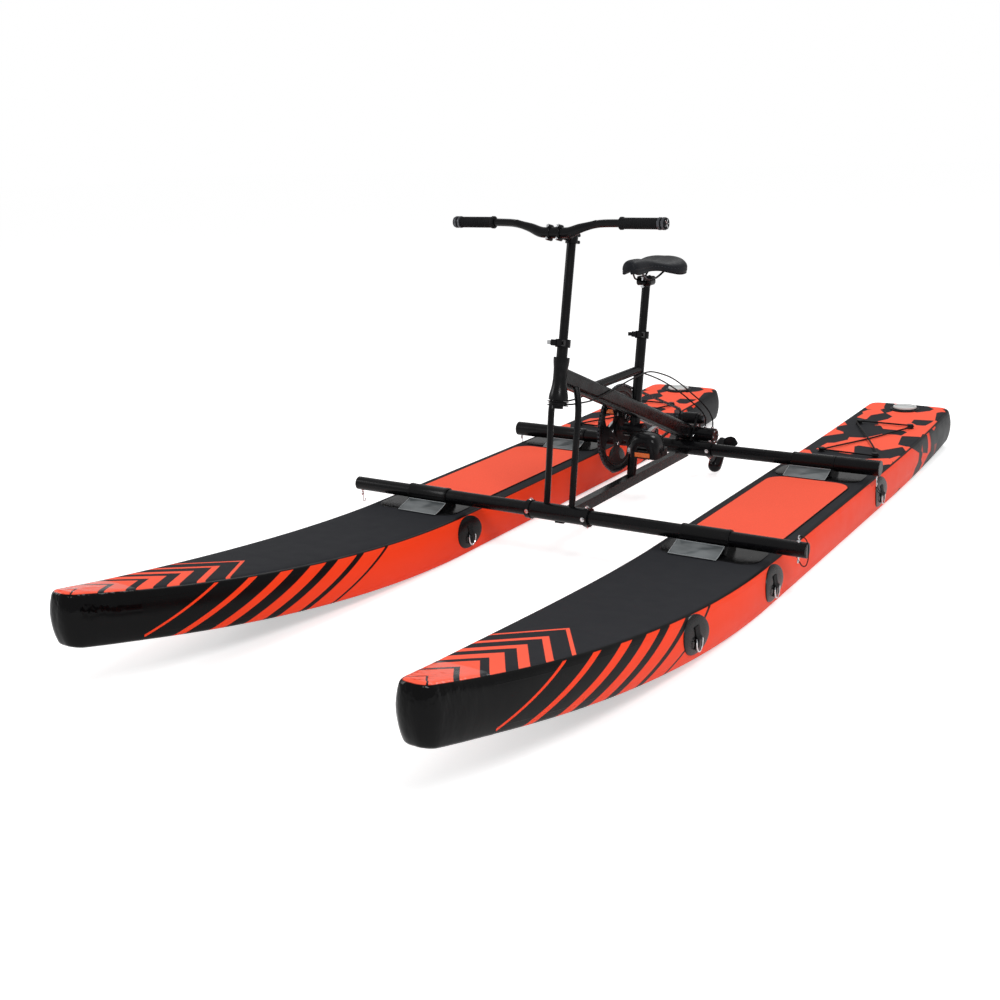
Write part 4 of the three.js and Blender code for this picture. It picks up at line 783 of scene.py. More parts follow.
def plan_loop(half):
    """The whole plan, once round, with the way out from it at each place."""
    inner = [1 - 2 * column / HULL_COLUMNS for column in range(1, HULL_COLUMNS)]
    loop = [*half, *[(half[-1][0] * share, half[-1][1]) for share in inner],
            *[(-x, y) for x, y in half[::-1]], *[(-half[0][0] * share, half[0][1]) for share in inner]]
    outs = []
    for index in range(len(loop)):
        back, ahead = loop[index - 1], loop[(index + 1) % len(loop)]
        outs.append(Vector((ahead[1] - back[1], back[0] - ahead[0], 0)).normalized())
    return loop, outs


def crease(place):
    """How deep the film is creased at a place."""
    depth = CREASE_MIDDLE
    for scale, share in CREASES:
        depth += share * noise.noise(place * Vector(scale))
    return max(0, depth)


def wall_of(loop, outs, film, ruffle):
    """The wall's places, and for each its (y, x, depth below the deck) for the print."""
    places, skin = [], []
    fades = [min(1, max(FADE_FLOOR, (NOSE_END + WRAP_REACH - y) / WRAP_FADE)) for x, y in loop]
    for reach, height in wall_profile():
        for (x, y), out, fade in zip(loop, outs, fades):
            grow = film * fade
            z = rise(y) + height + grow * (2 * height / HULL_DEPTH - 1)
            place = Vector((x, y, z)) + out * (reach + grow)
            if ruffle:
                place -= out * (ruffle * crease(place) * (fade - FADE_FLOOR))
            places.append(place)
            skin.append((y, x + out.x * min(reach, 0), HULL_DEPTH - height))
    return places, skin


def add_lid(places, skin, start, half, crown, depth):
    """Adds the places inside one end of the wall, and returns the faces of a deck or base there."""
    count, columns = len(half), HULL_COLUMNS
    index = {}
    for row in range(count):
        index[row, 0] = start + row
        index[row, columns] = start + 2 * count + columns - 2 - row
        for column in range(1, columns):
            if row == count - 1:
                index[row, column] = start + count + column - 1
            elif row == 0:
                index[row, column] = start + 2 * (count + columns - 1) - column
            else:
                place = places[start + row].lerp(places[index[row, columns]], column / columns)
                place.z += crown * (1 - (1 - 2 * column / columns) ** 2)
                index[row, column] = len(places)
                places.append(place)
                skin.append((half[row][1], place.x, depth))
    return [[index[row, column], index[row, column + 1], index[row + 1, column + 1], index[row + 1, column]]
            for row in range(count - 1) for column in range(columns)]


def hull_mesh(name, x, film=0.0, keep_before=None, ruffle=0.0):
    """A pontoon's skin at a place across, or a film over its nose that ends at keep_before."""
    half = half_outline()
    loop, outs = plan_loop(half)
    places, skin = wall_of(loop, outs, film, ruffle)
    levels = len(places) // len(loop)
    faces = grid(len(loop), levels, wrap_columns=True)
    faces += add_lid(places, skin, len(loop) * (levels - 1), half, DECK_CROWN, 0)
    faces += add_lid(places, skin, 0, half, 0, BASE_SKIN)
    if keep_before is not None:
        faces = [face for face in faces if max(skin[corner][0] for corner in face) < keep_before]
    made = link_mesh(name, [place + ACROSS * x for place in places], faces)
    attribute = made.data.attributes.new("skin", "FLOAT_VECTOR", "POINT")
    attribute.data.foreach_set("vector", np.array(skin, np.float32).ravel())
    face_outwards(made)
    return made


def wall_place(sign, facing, y, share, out):
    """A point on a pontoon's side wall, pushed out from it. Facing is the wall's side in x."""
    share = min(max(share, WALL_LOW), WALL_HIGH)
    over = max(0, share - WALL_TURN)
    lip = (over / (1 - WALL_TURN)) ** 2 * EDGE_ROUND / 2
    x = sign * HULL_X + facing * (half_width(y) + bulge(share) - lip + out)
    return Vector((x, y, rise(y) + HULL_DEPTH * share + over * out))


def pontoon(side, sign):
    skin = hull_mesh(f"{side}_hull", sign * HULL_X)
    shaded(settle(skin, "frame", "hull_skin", replaced=[f"{side}_pontoon"]))
    wrap = hull_mesh(f"{side}_nose_wrap", sign * HULL_X, WRAP_GROW, WRAP_END, WRAP_CREASE)
    settle(wrap, "frame", "black_skin", replaced=[f"{side}_nose_guard"])
    thick = wrap.modifiers.new("thickness", "SOLIDIFY")
    thick.thickness = WRAP_FILM
    thick.offset = -1
    shaded(wrap)


# Ring patches: (share of the outline, height over the wall), and sizes of the D-ring and its tab
PATCH_STEPS = 40
PATCH_LEVELS = [(1.0, 0.0002), (0.985, 0.0026), (0.9, 0.0034), (0.6, 0.0038), (0.25, 0.004), (0.02, 0.004)]
RING_OUT = 0.0065
RING_WIDTH = 0.018
RING_DROP = 0.028
RING_WIRE = 0.002
RING_STEPS = 28
RING_BOW = (0.003, -0.004)
RING_BAR = (0.6, 0.002)
TAB_WIDTH = 0.024
TAB_THICKNESS = 0.0018
TAB_OVER = [(0.24, 0.0052), (0.08, 0.0056)]
TAB_ROUND = [(0.0042, 0.003), (0.0036, -0.003)]
TAB_UNDER = [(-0.05, 0.0052), (-0.2, 0.0050)]


def patch(side, sign, facing, y, number):
    """A welded round patch with a webbing tab and a steel D-ring."""
    rings = []
    for share, out in PATCH_LEVELS:
        along, up = PATCH_HALF_LENGTH * share, PATCH_HALF_HEIGHT * share / HULL_DEPTH
        flat = circle(Vector((y, PATCH_SHARE)), Vector((along, 0)), Vector((0, up)), PATCH_STEPS)
        rings.append([wall_place(sign, facing, *spot, out) for spot in flat])
    name = f"{side}_ring_patch_{number}"
    Build().rings(rings).piece(name, "frame", "black_skin", "black_rubber_gloss")
    centre = wall_place(sign, facing, y, RING_SHARE, RING_OUT)
    out, up = RING_BOW
    corners = []
    for step in range(RING_STEPS):
        turn = math.pi + math.pi * step / (RING_STEPS - 1)
        reach = Vector((facing * out, RING_WIDTH * math.cos(turn), up + RING_DROP * math.sin(turn)))
        corners.append(centre + reach)
    share, up = RING_BAR
    corners += [centre + Vector((0, end * RING_WIDTH * share, up)) for end in (1, -1)]
    ring = Build().tube(corners, RING_WIRE, 10, closed=True)
    ring.piece(f"{side}_ring_{number}", "frame", "dark_steel", "bright_steel")
    over, under = [[wall_place(sign, facing, y, RING_SHARE + up, out) for up, out in part]
                   for part in (TAB_OVER, TAB_UNDER)]
    middle = [centre + Vector((facing * out, 0, up)) for out, up in TAB_ROUND]
    tab = Build().strap(curve_through(over + middle + under, 4), TAB_WIDTH, TAB_THICKNESS, (0, 1, 0))
    tab.piece(f"{side}_ring_tab_{number}", "frame", "black_webbing")


# Valves: profiles are (radius, height) pairs
VALVE_SEAT = [
    (0.001, -0.012), (0.058, -0.012), (0.058, -0.0046), (0.0566, -0.0026), (0.052, -0.0018),
    (0.0495, -0.0022),
    (0.0488, -0.0006), (0.001, -0.0006),
]
VALVE_LID = [
    (0.001, 0), (0.045, 0), (0.046, 0.0012), (0.046, 0.005), (0.0448, 0.0072), (0.042, 0.008),
    (0.039, 0.0078),
    (0.0385, 0.0062), (0.036, 0.0062), (0.0355, 0.0078), (0.001, 0.0078),
]
VALVE_BAR = ((-0.0335, -0.0055, 0.0076), (0.0335, 0.0055, 0.0118))
VALVE_STUD_RING = 0.0372
VALVE_STUD_UP = 0.0066
VALVE_STUD = (0.0013, 0, 0.0012)
VALVE_STUDS = 24
VALVE_SIDES = 56
FINE_BEVEL = 0.0004


def valve(side, sign):
    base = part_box(f"{side}_valve_cap")
    centre = Vector((sign * HULL_X, VALVE_Y, base[0].z))
    seat = Build().revolve(VALVE_SEAT, centre, UP, VALVE_SIDES)
    seat.piece(f"{side}_valve_seat", "frame", "black_plastic")
    lid = Build().revolve(VALVE_LID, centre, UP, VALVE_SIDES)
    lid.block(*[centre + Vector(corner) for corner in VALVE_BAR])
    studs = (Vector((VALVE_STUD_RING, 0, 0)), Vector((0, VALVE_STUD_RING, 0)), VALVE_STUDS)
    for spot in circle(centre + UP * VALVE_STUD_UP, *studs):
        lid.revolve(disc(*VALVE_STUD), spot, UP, 8)
    made = lid.piece(f"{side}_valve_lid", f"{side}_valve", "pale_cap", replaced=[f"{side}_valve_cap"])
    bevel(made, FINE_BEVEL, 1)


def rounded_outline(half_x, half_y, radius, steps=10):
    points = []
    for quarter, (sx, sy) in enumerate(((1, 1), (-1, 1), (-1, -1), (1, -1))):
        for step in range(steps + 1):
            turn = QUARTER_TURN * (quarter + step / steps)
            points.append((sx * (half_x - radius) + radius * math.cos(turn),
                           sy * (half_y - radius) + radius * math.sin(turn)))
    return points


def plate_rings(centre, half_x, half_y, radius, levels, steps=10):
    """Stacked outlines, each given as (inset, height)."""
    rings = []
    for inset, height in levels:
        outline = rounded_outline(half_x - inset, half_y - inset, max(radius - inset, LEAST_CORNER), steps)
        rings.append([centre + Vector((x, y, height)) for x, y in outline])
    return rings


PAD_CORNER = 0.06
PAD_CORNER_STEPS = 14
PAD_RIM = 0.0028
PAD_EDGE_DROPS = [(0, 0.0012), (0.0008, 0.0003), (PAD_RIM, 0.0003)]
PAD_TOP_DROPS = [(PAD_RIM, 0.0006), (0.0032, 0.0001), (0.0058, 0), (0.03, 0)]


def deck_pad(side, sign):
    low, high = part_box(f"{side}_deck_pad")
    half_x, half_y = (high.x - low.x) / 2, (high.y - low.y) / 2
    centre = Vector((sign * HULL_X, (low.y + high.y) / 2, low.z))
    thick = high.z - low.z
    edge, top = [[(inset, thick - drop) for inset, drop in drops]
                 for drops in (PAD_EDGE_DROPS, PAD_TOP_DROPS)]
    rings = plate_rings(centre, half_x, half_y, PAD_CORNER, [(0, 0), *edge], PAD_CORNER_STEPS)
    # The pad's rim and sides are painted black, as painted shade of its bevel
    Build().rings(rings).piece(f"{side}_pad_rim_shade", "frame", "pad_foam", "pad_rim_shade")
    face = Build().rings(plate_rings(centre, half_x, half_y, PAD_CORNER, top, PAD_CORNER_STEPS))
    made = face.piece(f"{side}_deck_foam", "frame", "pad_foam", replaced=[f"{side}_deck_pad"])


# Beam saddles: base patch, strap round the beam, stitches and clear flap
SADDLE_BASE = (0.150, 0.076, 0.05)
SADDLE_BASE_LEVELS = [(0, 0), (0, 0.0016), (0.0008, 0.0026), (0.004, 0.0030), (0.02, 0.0030)]
SADDLE_FOOT = 0.0026
WRAP_INBOARD = 0.023
WRAP_OUTSIDE = BEAM_RADIUS + 0.0034
WRAP_TURN = (math.radians(-40), math.radians(260), 24)
WRAP_FEET = [(-0.038, 0.004), (-0.036, 0), (0.036, 0), (0.038, 0.004)]
WRAP_LOW = 0.02
WRAP_HALF = 0.075
WRAP_HEMS = [(0, 0.985), (0.001, 1.02), (0.010, 1.022), (0.012, 1.0)]
STITCH_EDGE = 0.0055
STITCH_OUT = 1.03
STITCH_RADII = [0.0003, 0.0005, 0.0003]
FLAP_INBOARD = 0.030
FLAP_WIDTH = 0.145
FLAP_GRID = (19, 9)
FLAP_START = (0.0045, 0.016)
FLAP_END = (0.064, 0.0022)
FLAP_WAVE = (0.0012, 9, 3)
FLAP_SAG = 0.8
FLAP_UNDER = Vector((0, 0.0006, -0.0016))
WELT_RADIUS = 0.0013
WELT_UP = 0.0003


def strap_section(beam_y, foot):
    """(y, z) places of the strap's outside, over the beam and down to its feet."""
    first, span, steps = WRAP_TURN
    section = []
    for step in range(steps + 1):
        turn = first + span * step / steps
        section.append((beam_y + WRAP_OUTSIDE * math.cos(turn), BEAM_Z + WRAP_OUTSIDE * math.sin(turn)))
    return section + [(beam_y + y, foot + z) for y, z in WRAP_FEET]


def swelled(x, spot, beam_y, share):
    """A place of the strap's section, pushed out from the beam by a share of its reach."""
    y, z = spot
    rise_share = share if z > BEAM_Z - WRAP_LOW else 1
    return Vector((x, beam_y + (y - beam_y) * share, BEAM_Z + (z - BEAM_Z) * rise_share))


def saddle_strap(node, x, beam_y, section):
    ends = [(grow, hem - WRAP_HALF) for hem, grow in WRAP_HEMS]
    stations = ends + [(grow, -along) for grow, along in ends[::-1]]
    rings = [[swelled(x + along, spot, beam_y, grow) for spot in section] for grow, along in stations]
    wrap = Build().rings(rings)
    wrap.piece(f"{node}_strap", "frame", "black_webbing", "black_rubber_gloss", replaced=[node])
    stitch = Build()
    for end in (1, -1):
        edge = x + end * (STITCH_EDGE - WRAP_HALF)
        for start in range(4, 22, 2):
            a, b = [swelled(edge, section[corner], beam_y, STITCH_OUT) for corner in (start, start + 1)]
            stitch.tube([a, a.lerp(b, 0.5), b], STITCH_RADII, 6)
    stitch.piece(f"{node}_stitching", "frame", "black_webbing", "black_plastic")


def saddle_flap(node, x, beam_y, foot):
    """The clear flap that lies over the front of a strap, and the welt round it."""
    columns, rows = FLAP_GRID
    wave, across_waves, down_waves = FLAP_WAVE
    edge_y = beam_y - BEAM_RADIUS
    start_y, start_z = edge_y - FLAP_START[0], BEAM_Z - FLAP_START[1]
    end_y, end_z = edge_y - FLAP_END[0], foot + FLAP_END[1]
    places = []
    for row in range(rows):
        share = row / (rows - 1)
        y = start_y + (end_y - start_y) * share
        z = start_z + (end_z - start_z) * share ** FLAP_SAG
        for column in range(columns):
            ripple = math.sin(across_waves * column / columns + down_waves * share)
            lift = wave * ripple * math.sin(math.pi * share)
            places.append(Vector((x + FLAP_WIDTH * (column / (columns - 1) - 0.5), y, z + lift)))
    flap = Build()
    rim = flap.shell(places, [place + FLAP_UNDER for place in places], columns)
    made = flap.piece(f"{node}_flap", "frame", "black_webbing", "vinyl")
    length = path_length(places[::columns])
    # The welt's pale grey is a painted highlight along the flap's edge
    welt = Build().tube([place + UP * WELT_UP for place in rim], WELT_RADIUS, 8, closed=True)
    welt.piece(f"{node}_flap_welt", "frame", "black_webbing", "painted_edge_highlight")


def beam_saddle(side, sign, name, beam_y):
    """Base patch, strap and a glossy flap that hold a beam on the deck."""
    node = f"{side}_{name}_beam_saddle"
    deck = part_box(node)[0].z
    centre = Vector((sign * HULL_X, beam_y, deck))
    base = Build().rings(plate_rings(centre, *SADDLE_BASE, SADDLE_BASE_LEVELS))
    base.piece(f"{node}_base", "frame", "black_webbing", "black_rubber_gloss")
    foot = deck + SADDLE_FOOT
    saddle_strap(node, centre.x - sign * WRAP_INBOARD, beam_y, strap_section(beam_y, foot))
    saddle_flap(node, centre.x - sign * FLAP_INBOARD, beam_y, foot)


CORD_RADIUS = 0.003
CORD_HEIGHT = 0.0085
CORD_CROSSING = 0.0035
KNOB_BEND = 0.0125
TANGENT_PASSES = 6
TURN_STEPS = 10
KNOB_SIDES = 28
KNOB_NECK = 0.0095
KNOB_FRONT_Y = 0.905
KNOB_BACK_Y = 1.365
KNOB_HALF_SPAN = 0.098
KNOB_SUNK = 0.0005
CORD_INSIDE = KNOB_NECK - 0.001
KNOB_PROFILE = [
    (0.0001, 0), (0.015, 0), (0.015, 0.0022), (0.0125, 0.0038), (KNOB_NECK, 0.0048), (KNOB_NECK, 0.0122),
    (0.0125, 0.0134), (0.0135, 0.015), (0.0115, 0.0165), (0.0001, 0.0168),
]


def deck_height(y):
    return rise(y) + HULL_DEPTH


def tangent_run(start, start_side, end, end_side):
    """The straight run that touches two equal circles, each on the side that is asked for."""
    first, last = start.copy(), end.copy()
    for _ in range(TANGENT_PASSES):
        along = (last - first).normalized()
        right = Vector((along.y, -along.x))
        first = start + right * (KNOB_BEND * start_side)
        last = end + right * (KNOB_BEND * end_side)
    return first, last


def turn_round(centre, first, last, side):
    """Points on the circle from the end of one run to the start of the next."""
    begin = math.atan2(first.y - centre.y, first.x - centre.x)
    turn = math.atan2(last.y - centre.y, last.x - centre.x) - begin
    turn = turn % FULL_TURN if side > 0 else -(-turn % FULL_TURN)
    angles = [begin + turn * step / TURN_STEPS for step in range(1, TURN_STEPS)]
    return [centre + Vector((math.cos(angle), math.sin(angle))) * KNOB_BEND for angle in angles]


CORD_STEPS = (36, 16)


def lacing(sign):
    """One elastic cord: across the deck, round the two back knobs, across again and along the front."""
    left, right = sign * HULL_X - KNOB_HALF_SPAN, sign * HULL_X + KNOB_HALF_SPAN
    knobs = [Vector((left, KNOB_FRONT_Y)), Vector((right, KNOB_BACK_Y)), Vector((left, KNOB_BACK_Y)),
             Vector((right, KNOB_FRONT_Y)), Vector((left, KNOB_FRONT_Y))]
    sides = [0, 1, 1, -1, 0]
    runs = [tangent_run(knobs[n], sides[n], knobs[n + 1], sides[n + 1]) for n in range(4)]
    start, end = runs[0][1], runs[3][0]
    runs[0] = (knobs[0] + (start - knobs[0]).normalized() * CORD_INSIDE, start)
    runs[3] = (end, knobs[4] + (end - knobs[4]).normalized() * CORD_INSIDE)
    points = []
    for number, (first, last) in enumerate(runs):
        hump = (-CORD_CROSSING, 0, CORD_CROSSING, 0)[number]
        steps = CORD_STEPS[0 if hump else 1]
        low, high = deck_height(first.y) + CORD_HEIGHT, deck_height(last.y) + CORD_HEIGHT
        for step in range(steps + 1):
            share = step / steps
            bow = hump * math.sin(math.pi * share) ** 2
            points.append(Vector((*first.lerp(last, share), low + (high - low) * share + bow)))
        if number < 3:
            arc = turn_round(knobs[number + 1], last, runs[number + 1][0], sides[number + 1])
            points += [Vector((spot.x, spot.y, high)) for spot in arc]
    return knobs[:4], points


def bungee(side, sign):
    knobs, points = lacing(sign)
    cord = Build().tube(points, CORD_RADIUS, 12)
    made = cord.piece(f"{side}_bungee_cord", "frame", "black_rubber", "black_webbing",
                      replaced=[f"{side}_bungee"])
    path_length(points)
    eyes = Build()
    for knob in knobs:
        eyes.revolve(KNOB_PROFILE, Vector((*knob, deck_height(knob.y) - KNOB_SUNK)), UP, KNOB_SIDES)
    eyes.piece(f"{side}_bungee_eyes", "frame", "black_rubber", "black_plastic")


for side, sign in SIDES.items():
    pontoon(side, sign)
    number = 0
    for facing, places in RING_PLACES.items():
        for y in places:
            number += 1
            patch(side, sign, facing * sign, y, number)
    valve(side, sign)
    deck_pad(side, sign)
    beam_saddle(side, sign, "front", FRONT_BEAM_Y)
    beam_saddle(side, sign, "rear", REAR_BEAM_Y)
    bungee(side, sign)


# Steering column and seat places
LEAN = math.radians(12)
HEAD_BASE = Vector((0, -0.3, 0.527))
STEM_UP = 0.478
BAR_REACH = 0.1
BAR_RADIUS = 0.0111
COLUMN_UP = Vector((0, math.sin(LEAN), math.cos(LEAN)))
COLUMN_BACK = Vector((0, math.cos(LEAN), -math.sin(LEAN)))


def on_column(x, back, up):
    """A place measured from the bottom of the head tube, along the leaning column."""
    return HEAD_BASE + ACROSS * x + COLUMN_BACK * back + COLUMN_UP * up


# Steering cables
PULLEY_CABLE_X = 0.0305
PULLEY_MIDDLE = -0.01
CABLE_RADIUS = 0.0025
CABLE_END = (0.65, 0.2463)
CABLE_ROUTES = {
    "port": [
        (0.029, -0.240, 0.507), (0.028, -0.150, 0.498), (0.028, -0.045, 0.500), (0.028, 0.060, 0.511),
        (0.028, 0.150, 0.517), (0.027, 0.235, 0.519), (0.025, 0.310, 0.506), (0.023, 0.430, 0.468),
        (0.022, 0.530, 0.422), (0.026, 0.600, 0.380), (0.040, 0.645, 0.345), (0.062, 0.668, 0.308),
        (0.080, 0.664, 0.280), (0.088, 0.652, 0.262),
    ],
    "starboard": [
        (-0.029, -0.240, 0.507), (-0.028, -0.150, 0.498), (-0.028, -0.045, 0.500), (-0.028, 0.060, 0.511),
        (-0.028, 0.150, 0.517), (-0.027, 0.235, 0.517), (-0.024, 0.310, 0.500), (-0.014, 0.430, 0.455),
        (0.006, 0.530, 0.400), (0.030, 0.590, 0.352), (0.052, 0.630, 0.312), (0.060, 0.650, 0.282),
        (0.060, 0.651, 0.262),
    ],
}


CABLE_BOOT = [
    (0.0026, 0), (0.0036, 0.001), (0.0040, 0.010), (0.0046, 0.012), (0.0046, 0.020), (0.0030, 0.021),
]
CABLE_NUT = [(0.0058, 0.0), (0.0062, 0.0006), (0.0062, 0.0046), (0.0058, 0.0052)]


def steering_cable(side, sign):
    route = [Vector(place) for place in CABLE_ROUTES[side]]
    starts = [on_column(sign * PULLEY_CABLE_X, back, PULLEY_MIDDLE) for back in (0, PULLEY_CABLE_X)]
    end = Vector((route[-1].x, *CABLE_END))
    points = curve_through([*starts, *route, end], 6)
    cable = Build().tube(points, CABLE_RADIUS, 12)
    made = cable.piece(f"{side}_control_cable", "frame", "black_rubber", "cable_jacket",
                       replaced=[f"{side}_steering_cable"])
    adjuster = Build().revolve(CABLE_BOOT, end, end - points[-4], 20).revolve(CABLE_NUT, end, UP, 6)
    adjuster.piece(f"{side}_cable_adjuster", "frame", "dark_steel", "bright_steel")
    path_length(points)


# Handlebar, grips and stem
GRIP_START = 0.208
GRIP_RIB = 0.0064
GRIP_RIBS = 16


GRIP_COLLAR = [
    (0.0112, 0), (0.0174, 0.0002), (0.0180, 0.001), (0.0180, 0.0075), (0.0172, 0.009), (0.0156, 0.0105),
]
GRIP_FIRST_RIB = 0.0125
GRIP_RIB_PROFILE = [(0.0150, 0), (0.0158, 0.0012), (0.0159, GRIP_RIB - 0.0022), (0.0151, GRIP_RIB - 0.0010)]
GRIP_BARE = [(0.0150, 0), (0.0158, 0.001)]
GRIP_END = [(0.0158, 0.1396), (0.0150, 0.1416), (0.0020, 0.1419)]
GRIP_BANDS = (0.1172, 0.1296)
GRIP_BAND = [
    (0.0159, 0), (0.0171, 0.0004), (0.0174, 0.0012), (0.0174, 0.0068), (0.0171, 0.0076), (0.0159, 0.008),
]
GRIP_SPOKES = 5
GRIP_SPOKE_OUT = 0.1415
GRIP_SPOKE = [(0.0022, 0.0008), (0.0075, 0.0012), (0.0128, 0.0009)]


def grip(side, sign):
    low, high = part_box(f"{side}_grip")
    middle = (low + high) / 2
    root = Vector((sign * GRIP_START, middle.y, middle.z))
    out = ACROSS * sign
    profile = list(GRIP_COLLAR)
    for rib in range(GRIP_RIBS):
        start = GRIP_FIRST_RIB + GRIP_RIB * rib
        profile += [(radius, start + along) for radius, along in GRIP_RIB_PROFILE]
    start = GRIP_FIRST_RIB + GRIP_RIB * GRIP_RIBS
    profile += [(radius, start + along) for radius, along in GRIP_BARE] + GRIP_END
    body = Build().revolve(profile, root, out, 40)
    body.piece(f"{side}_grip_sleeve", "handle", "black_rubber", replaced=[f"{side}_grip"])
    lock = Build()
    for start in GRIP_BANDS:
        lock.revolve(GRIP_BAND, root + out * start, out, 40)
    lock.piece(f"{side}_grip_lock_rings", "handle", "dark_steel")
    cap = Build()
    tip = root + out * GRIP_SPOKE_OUT
    for reach in circle(Vector(), Vector((0, 1, 0)), UP, GRIP_SPOKES):
        places = [tip + reach * along for along, thick in GRIP_SPOKE]
        cap.tube(places, [thick for along, thick in GRIP_SPOKE], 8)
    cap.piece(f"{side}_grip_cap_ribs", "handle", "dark_steel", "bright_steel")


BAR_ROUTE = [(0.025, 0), (0.05, 0.0022), (0.084, 0.014), (0.133, 0.026)]
SWELL_RADIUS = 0.0152
SWELL_END_RADIUS = BAR_RADIUS - 0.0001
SWELL_HALF = 0.045
SWELL_TAPER = 0.075


def bar_swell():
    """The bar is thicker where the stem holds it, and tapers off before its bends."""
    route = [(-x, up) for x, up in BAR_ROUTE[::-1]] + BAR_ROUTE
    points = curve_through([on_column(x, -BAR_REACH, STEM_UP + up) for x, up in route], 8)
    radii = []
    for point in points:
        share = min(1, max(0, (abs(point.x) - SWELL_HALF) / SWELL_TAPER))
        radii.append(SWELL_RADIUS - (SWELL_RADIUS - SWELL_END_RADIUS) * share * share * (3 - 2 * share))
    Build().tube(points, radii, 28).piece("bar_swell", "handle", "black_paint")


# Stem: its face plate, bolts and pinch lugs
PLATE_X = 0.0165
PLATE_BAND = [
    (0.0166, -0.0055), (0.0186, -0.0055), (0.0192, -0.0048), (0.0192, 0.0048), (0.0186, 0.0055),
    (0.0166, 0.0055),
]
PLATE_LUG = [
    (CENTRE, -0.016), (0.0050, -0.016), (0.0056, -0.015), (0.0056, 0.010), (0.0048, 0.011), (CENTRE, 0.011),
]
LUG_UP = 0.0175
LUG_FRONT = 0.016
STEM_BOLT_RADIUS = 0.0040
TOP_BOLT_UP = 0.5018
TOP_BOLT_RADIUS = 0.0048
PINCH_UPS = (0.466, 0.486)
PINCH_BACK = 0.0205
PINCH_LUG = (0.0050, -0.0150, 0.0150, 0.0004, 0.001)


def stem_details():
    centre = on_column(0, -BAR_REACH, STEM_UP)
    plate = Build()
    bolts = Build()
    for x in (-PLATE_X, PLATE_X):
        plate.revolve(PLATE_BAND, centre + ACROSS * x, ACROSS, 40)
        for up in (-LUG_UP, LUG_UP):
            lug = centre + ACROSS * x + COLUMN_UP * up
            plate.revolve(PLATE_LUG, lug, COLUMN_BACK, 20)
            socket_head(bolts, lug - COLUMN_BACK * LUG_FRONT, -COLUMN_BACK, STEM_BOLT_RADIUS)
    plate.piece("stem_faceplate", "handle", "black_paint")
    bolts.piece("stem_bolts", "handle", "dark_steel", "bright_steel")
    top = Build()
    socket_head(top, on_column(0, 0, TOP_BOLT_UP), COLUMN_UP, TOP_BOLT_RADIUS)
    top.piece("stem_top_bolt", "handle", "dark_steel", "bright_steel")
    split = Build()
    for up in PINCH_UPS:
        split.revolve(barrel(*PINCH_LUG), on_column(0, PINCH_BACK, up), ACROSS, 18)
    split.piece("stem_pinch_lugs", "handle", "black_paint")


# Bolt heads: (share of the radius, height) pairs
SOCKET_HEAD = [(0.55, 0.0012), (0.6, 0.0030), (0.9, 0.0031), (1, 0.0024), (1, -0.001), (0.55, -0.001)]
SOCKET_FLOOR = (0.58, 0.0002, 0.0008)
WASHER = (1.5, -0.0004, 0.0009)
HEX_FOOT = 0.0006
HEX_TOP_SHARE = 0.86
HEX_CHAMFER = 0.0005


def socket_head(build, place, axis, radius):
    """A round bolt head with a hexagonal socket."""
    share, low, high = SOCKET_FLOOR
    build.revolve([(radius * part, up) for part, up in SOCKET_HEAD], place, axis, 24, loop=True)
    build.revolve(disc(radius * share, low, high), place, axis, 6)


def hex_head(build, place, axis, radius, height):
    """A hexagonal bolt head on a washer."""
    share, low, high = WASHER
    build.revolve(disc(radius * share, low, high), place, axis, 24)
    build.revolve([(CENTRE, HEX_FOOT), (radius, HEX_FOOT), (radius, height - HEX_CHAMFER),
                   (radius * HEX_TOP_SHARE, height), (CENTRE, height)], place, axis, 6)


# Saddle
SADDLE_LENGTH = 0.287
SADDLE_NOSE_Y = 0.158
SADDLE_HALF_WIDTH = 0.088
SADDLE_NOSE_HALF = 0.024
SADDLE_TOP_Z = 0.884
SADDLE_WING_DEPTH = 0.058
SADDLE_NOSE_DEPTH = 0.036
SADDLE_STATIONS = [
    (0, 0.5, -0.035, 0.75), (0.02, 0.95, 0.004, 1.0), (0.08, 1.2, 0.024, 1.25), (0.2, 1.32, 0.026, 1.2),
    (0.34, 1.5, 0.018, 1.0), (0.48, 2.15, -0.006, 0.8), (0.6, 2.95, -0.022, 0.8), (0.74, 3.6, -0.014, 0.93),
    (0.87, 3.78, 0.002, 1), (0.96, 3.35, -0.01, 0.94), (1, 2.5, -0.045, 0.66),
]
SADDLE_SECTION = [
    (0, 1), (0.42, 0.97), (0.74, 0.84), (0.94, 0.6), (1, 0.3), (0.93, 0.02), (0.8, 0.08), (0.45, 0.42),
    (0, 0.46),
]
SADDLE_SEAM = 0.30
SADDLE_CHANNEL = 0.0036


CHANNEL_REACH = (0.14, 0.8)
CHANNEL_HALF = 0.0085
CHANNEL_LOWEST = 0.7
PANEL_DIP = 0.0011
PANEL_SPREAD = 0.05
PANEL_EDGES = (0.75, 0.12)


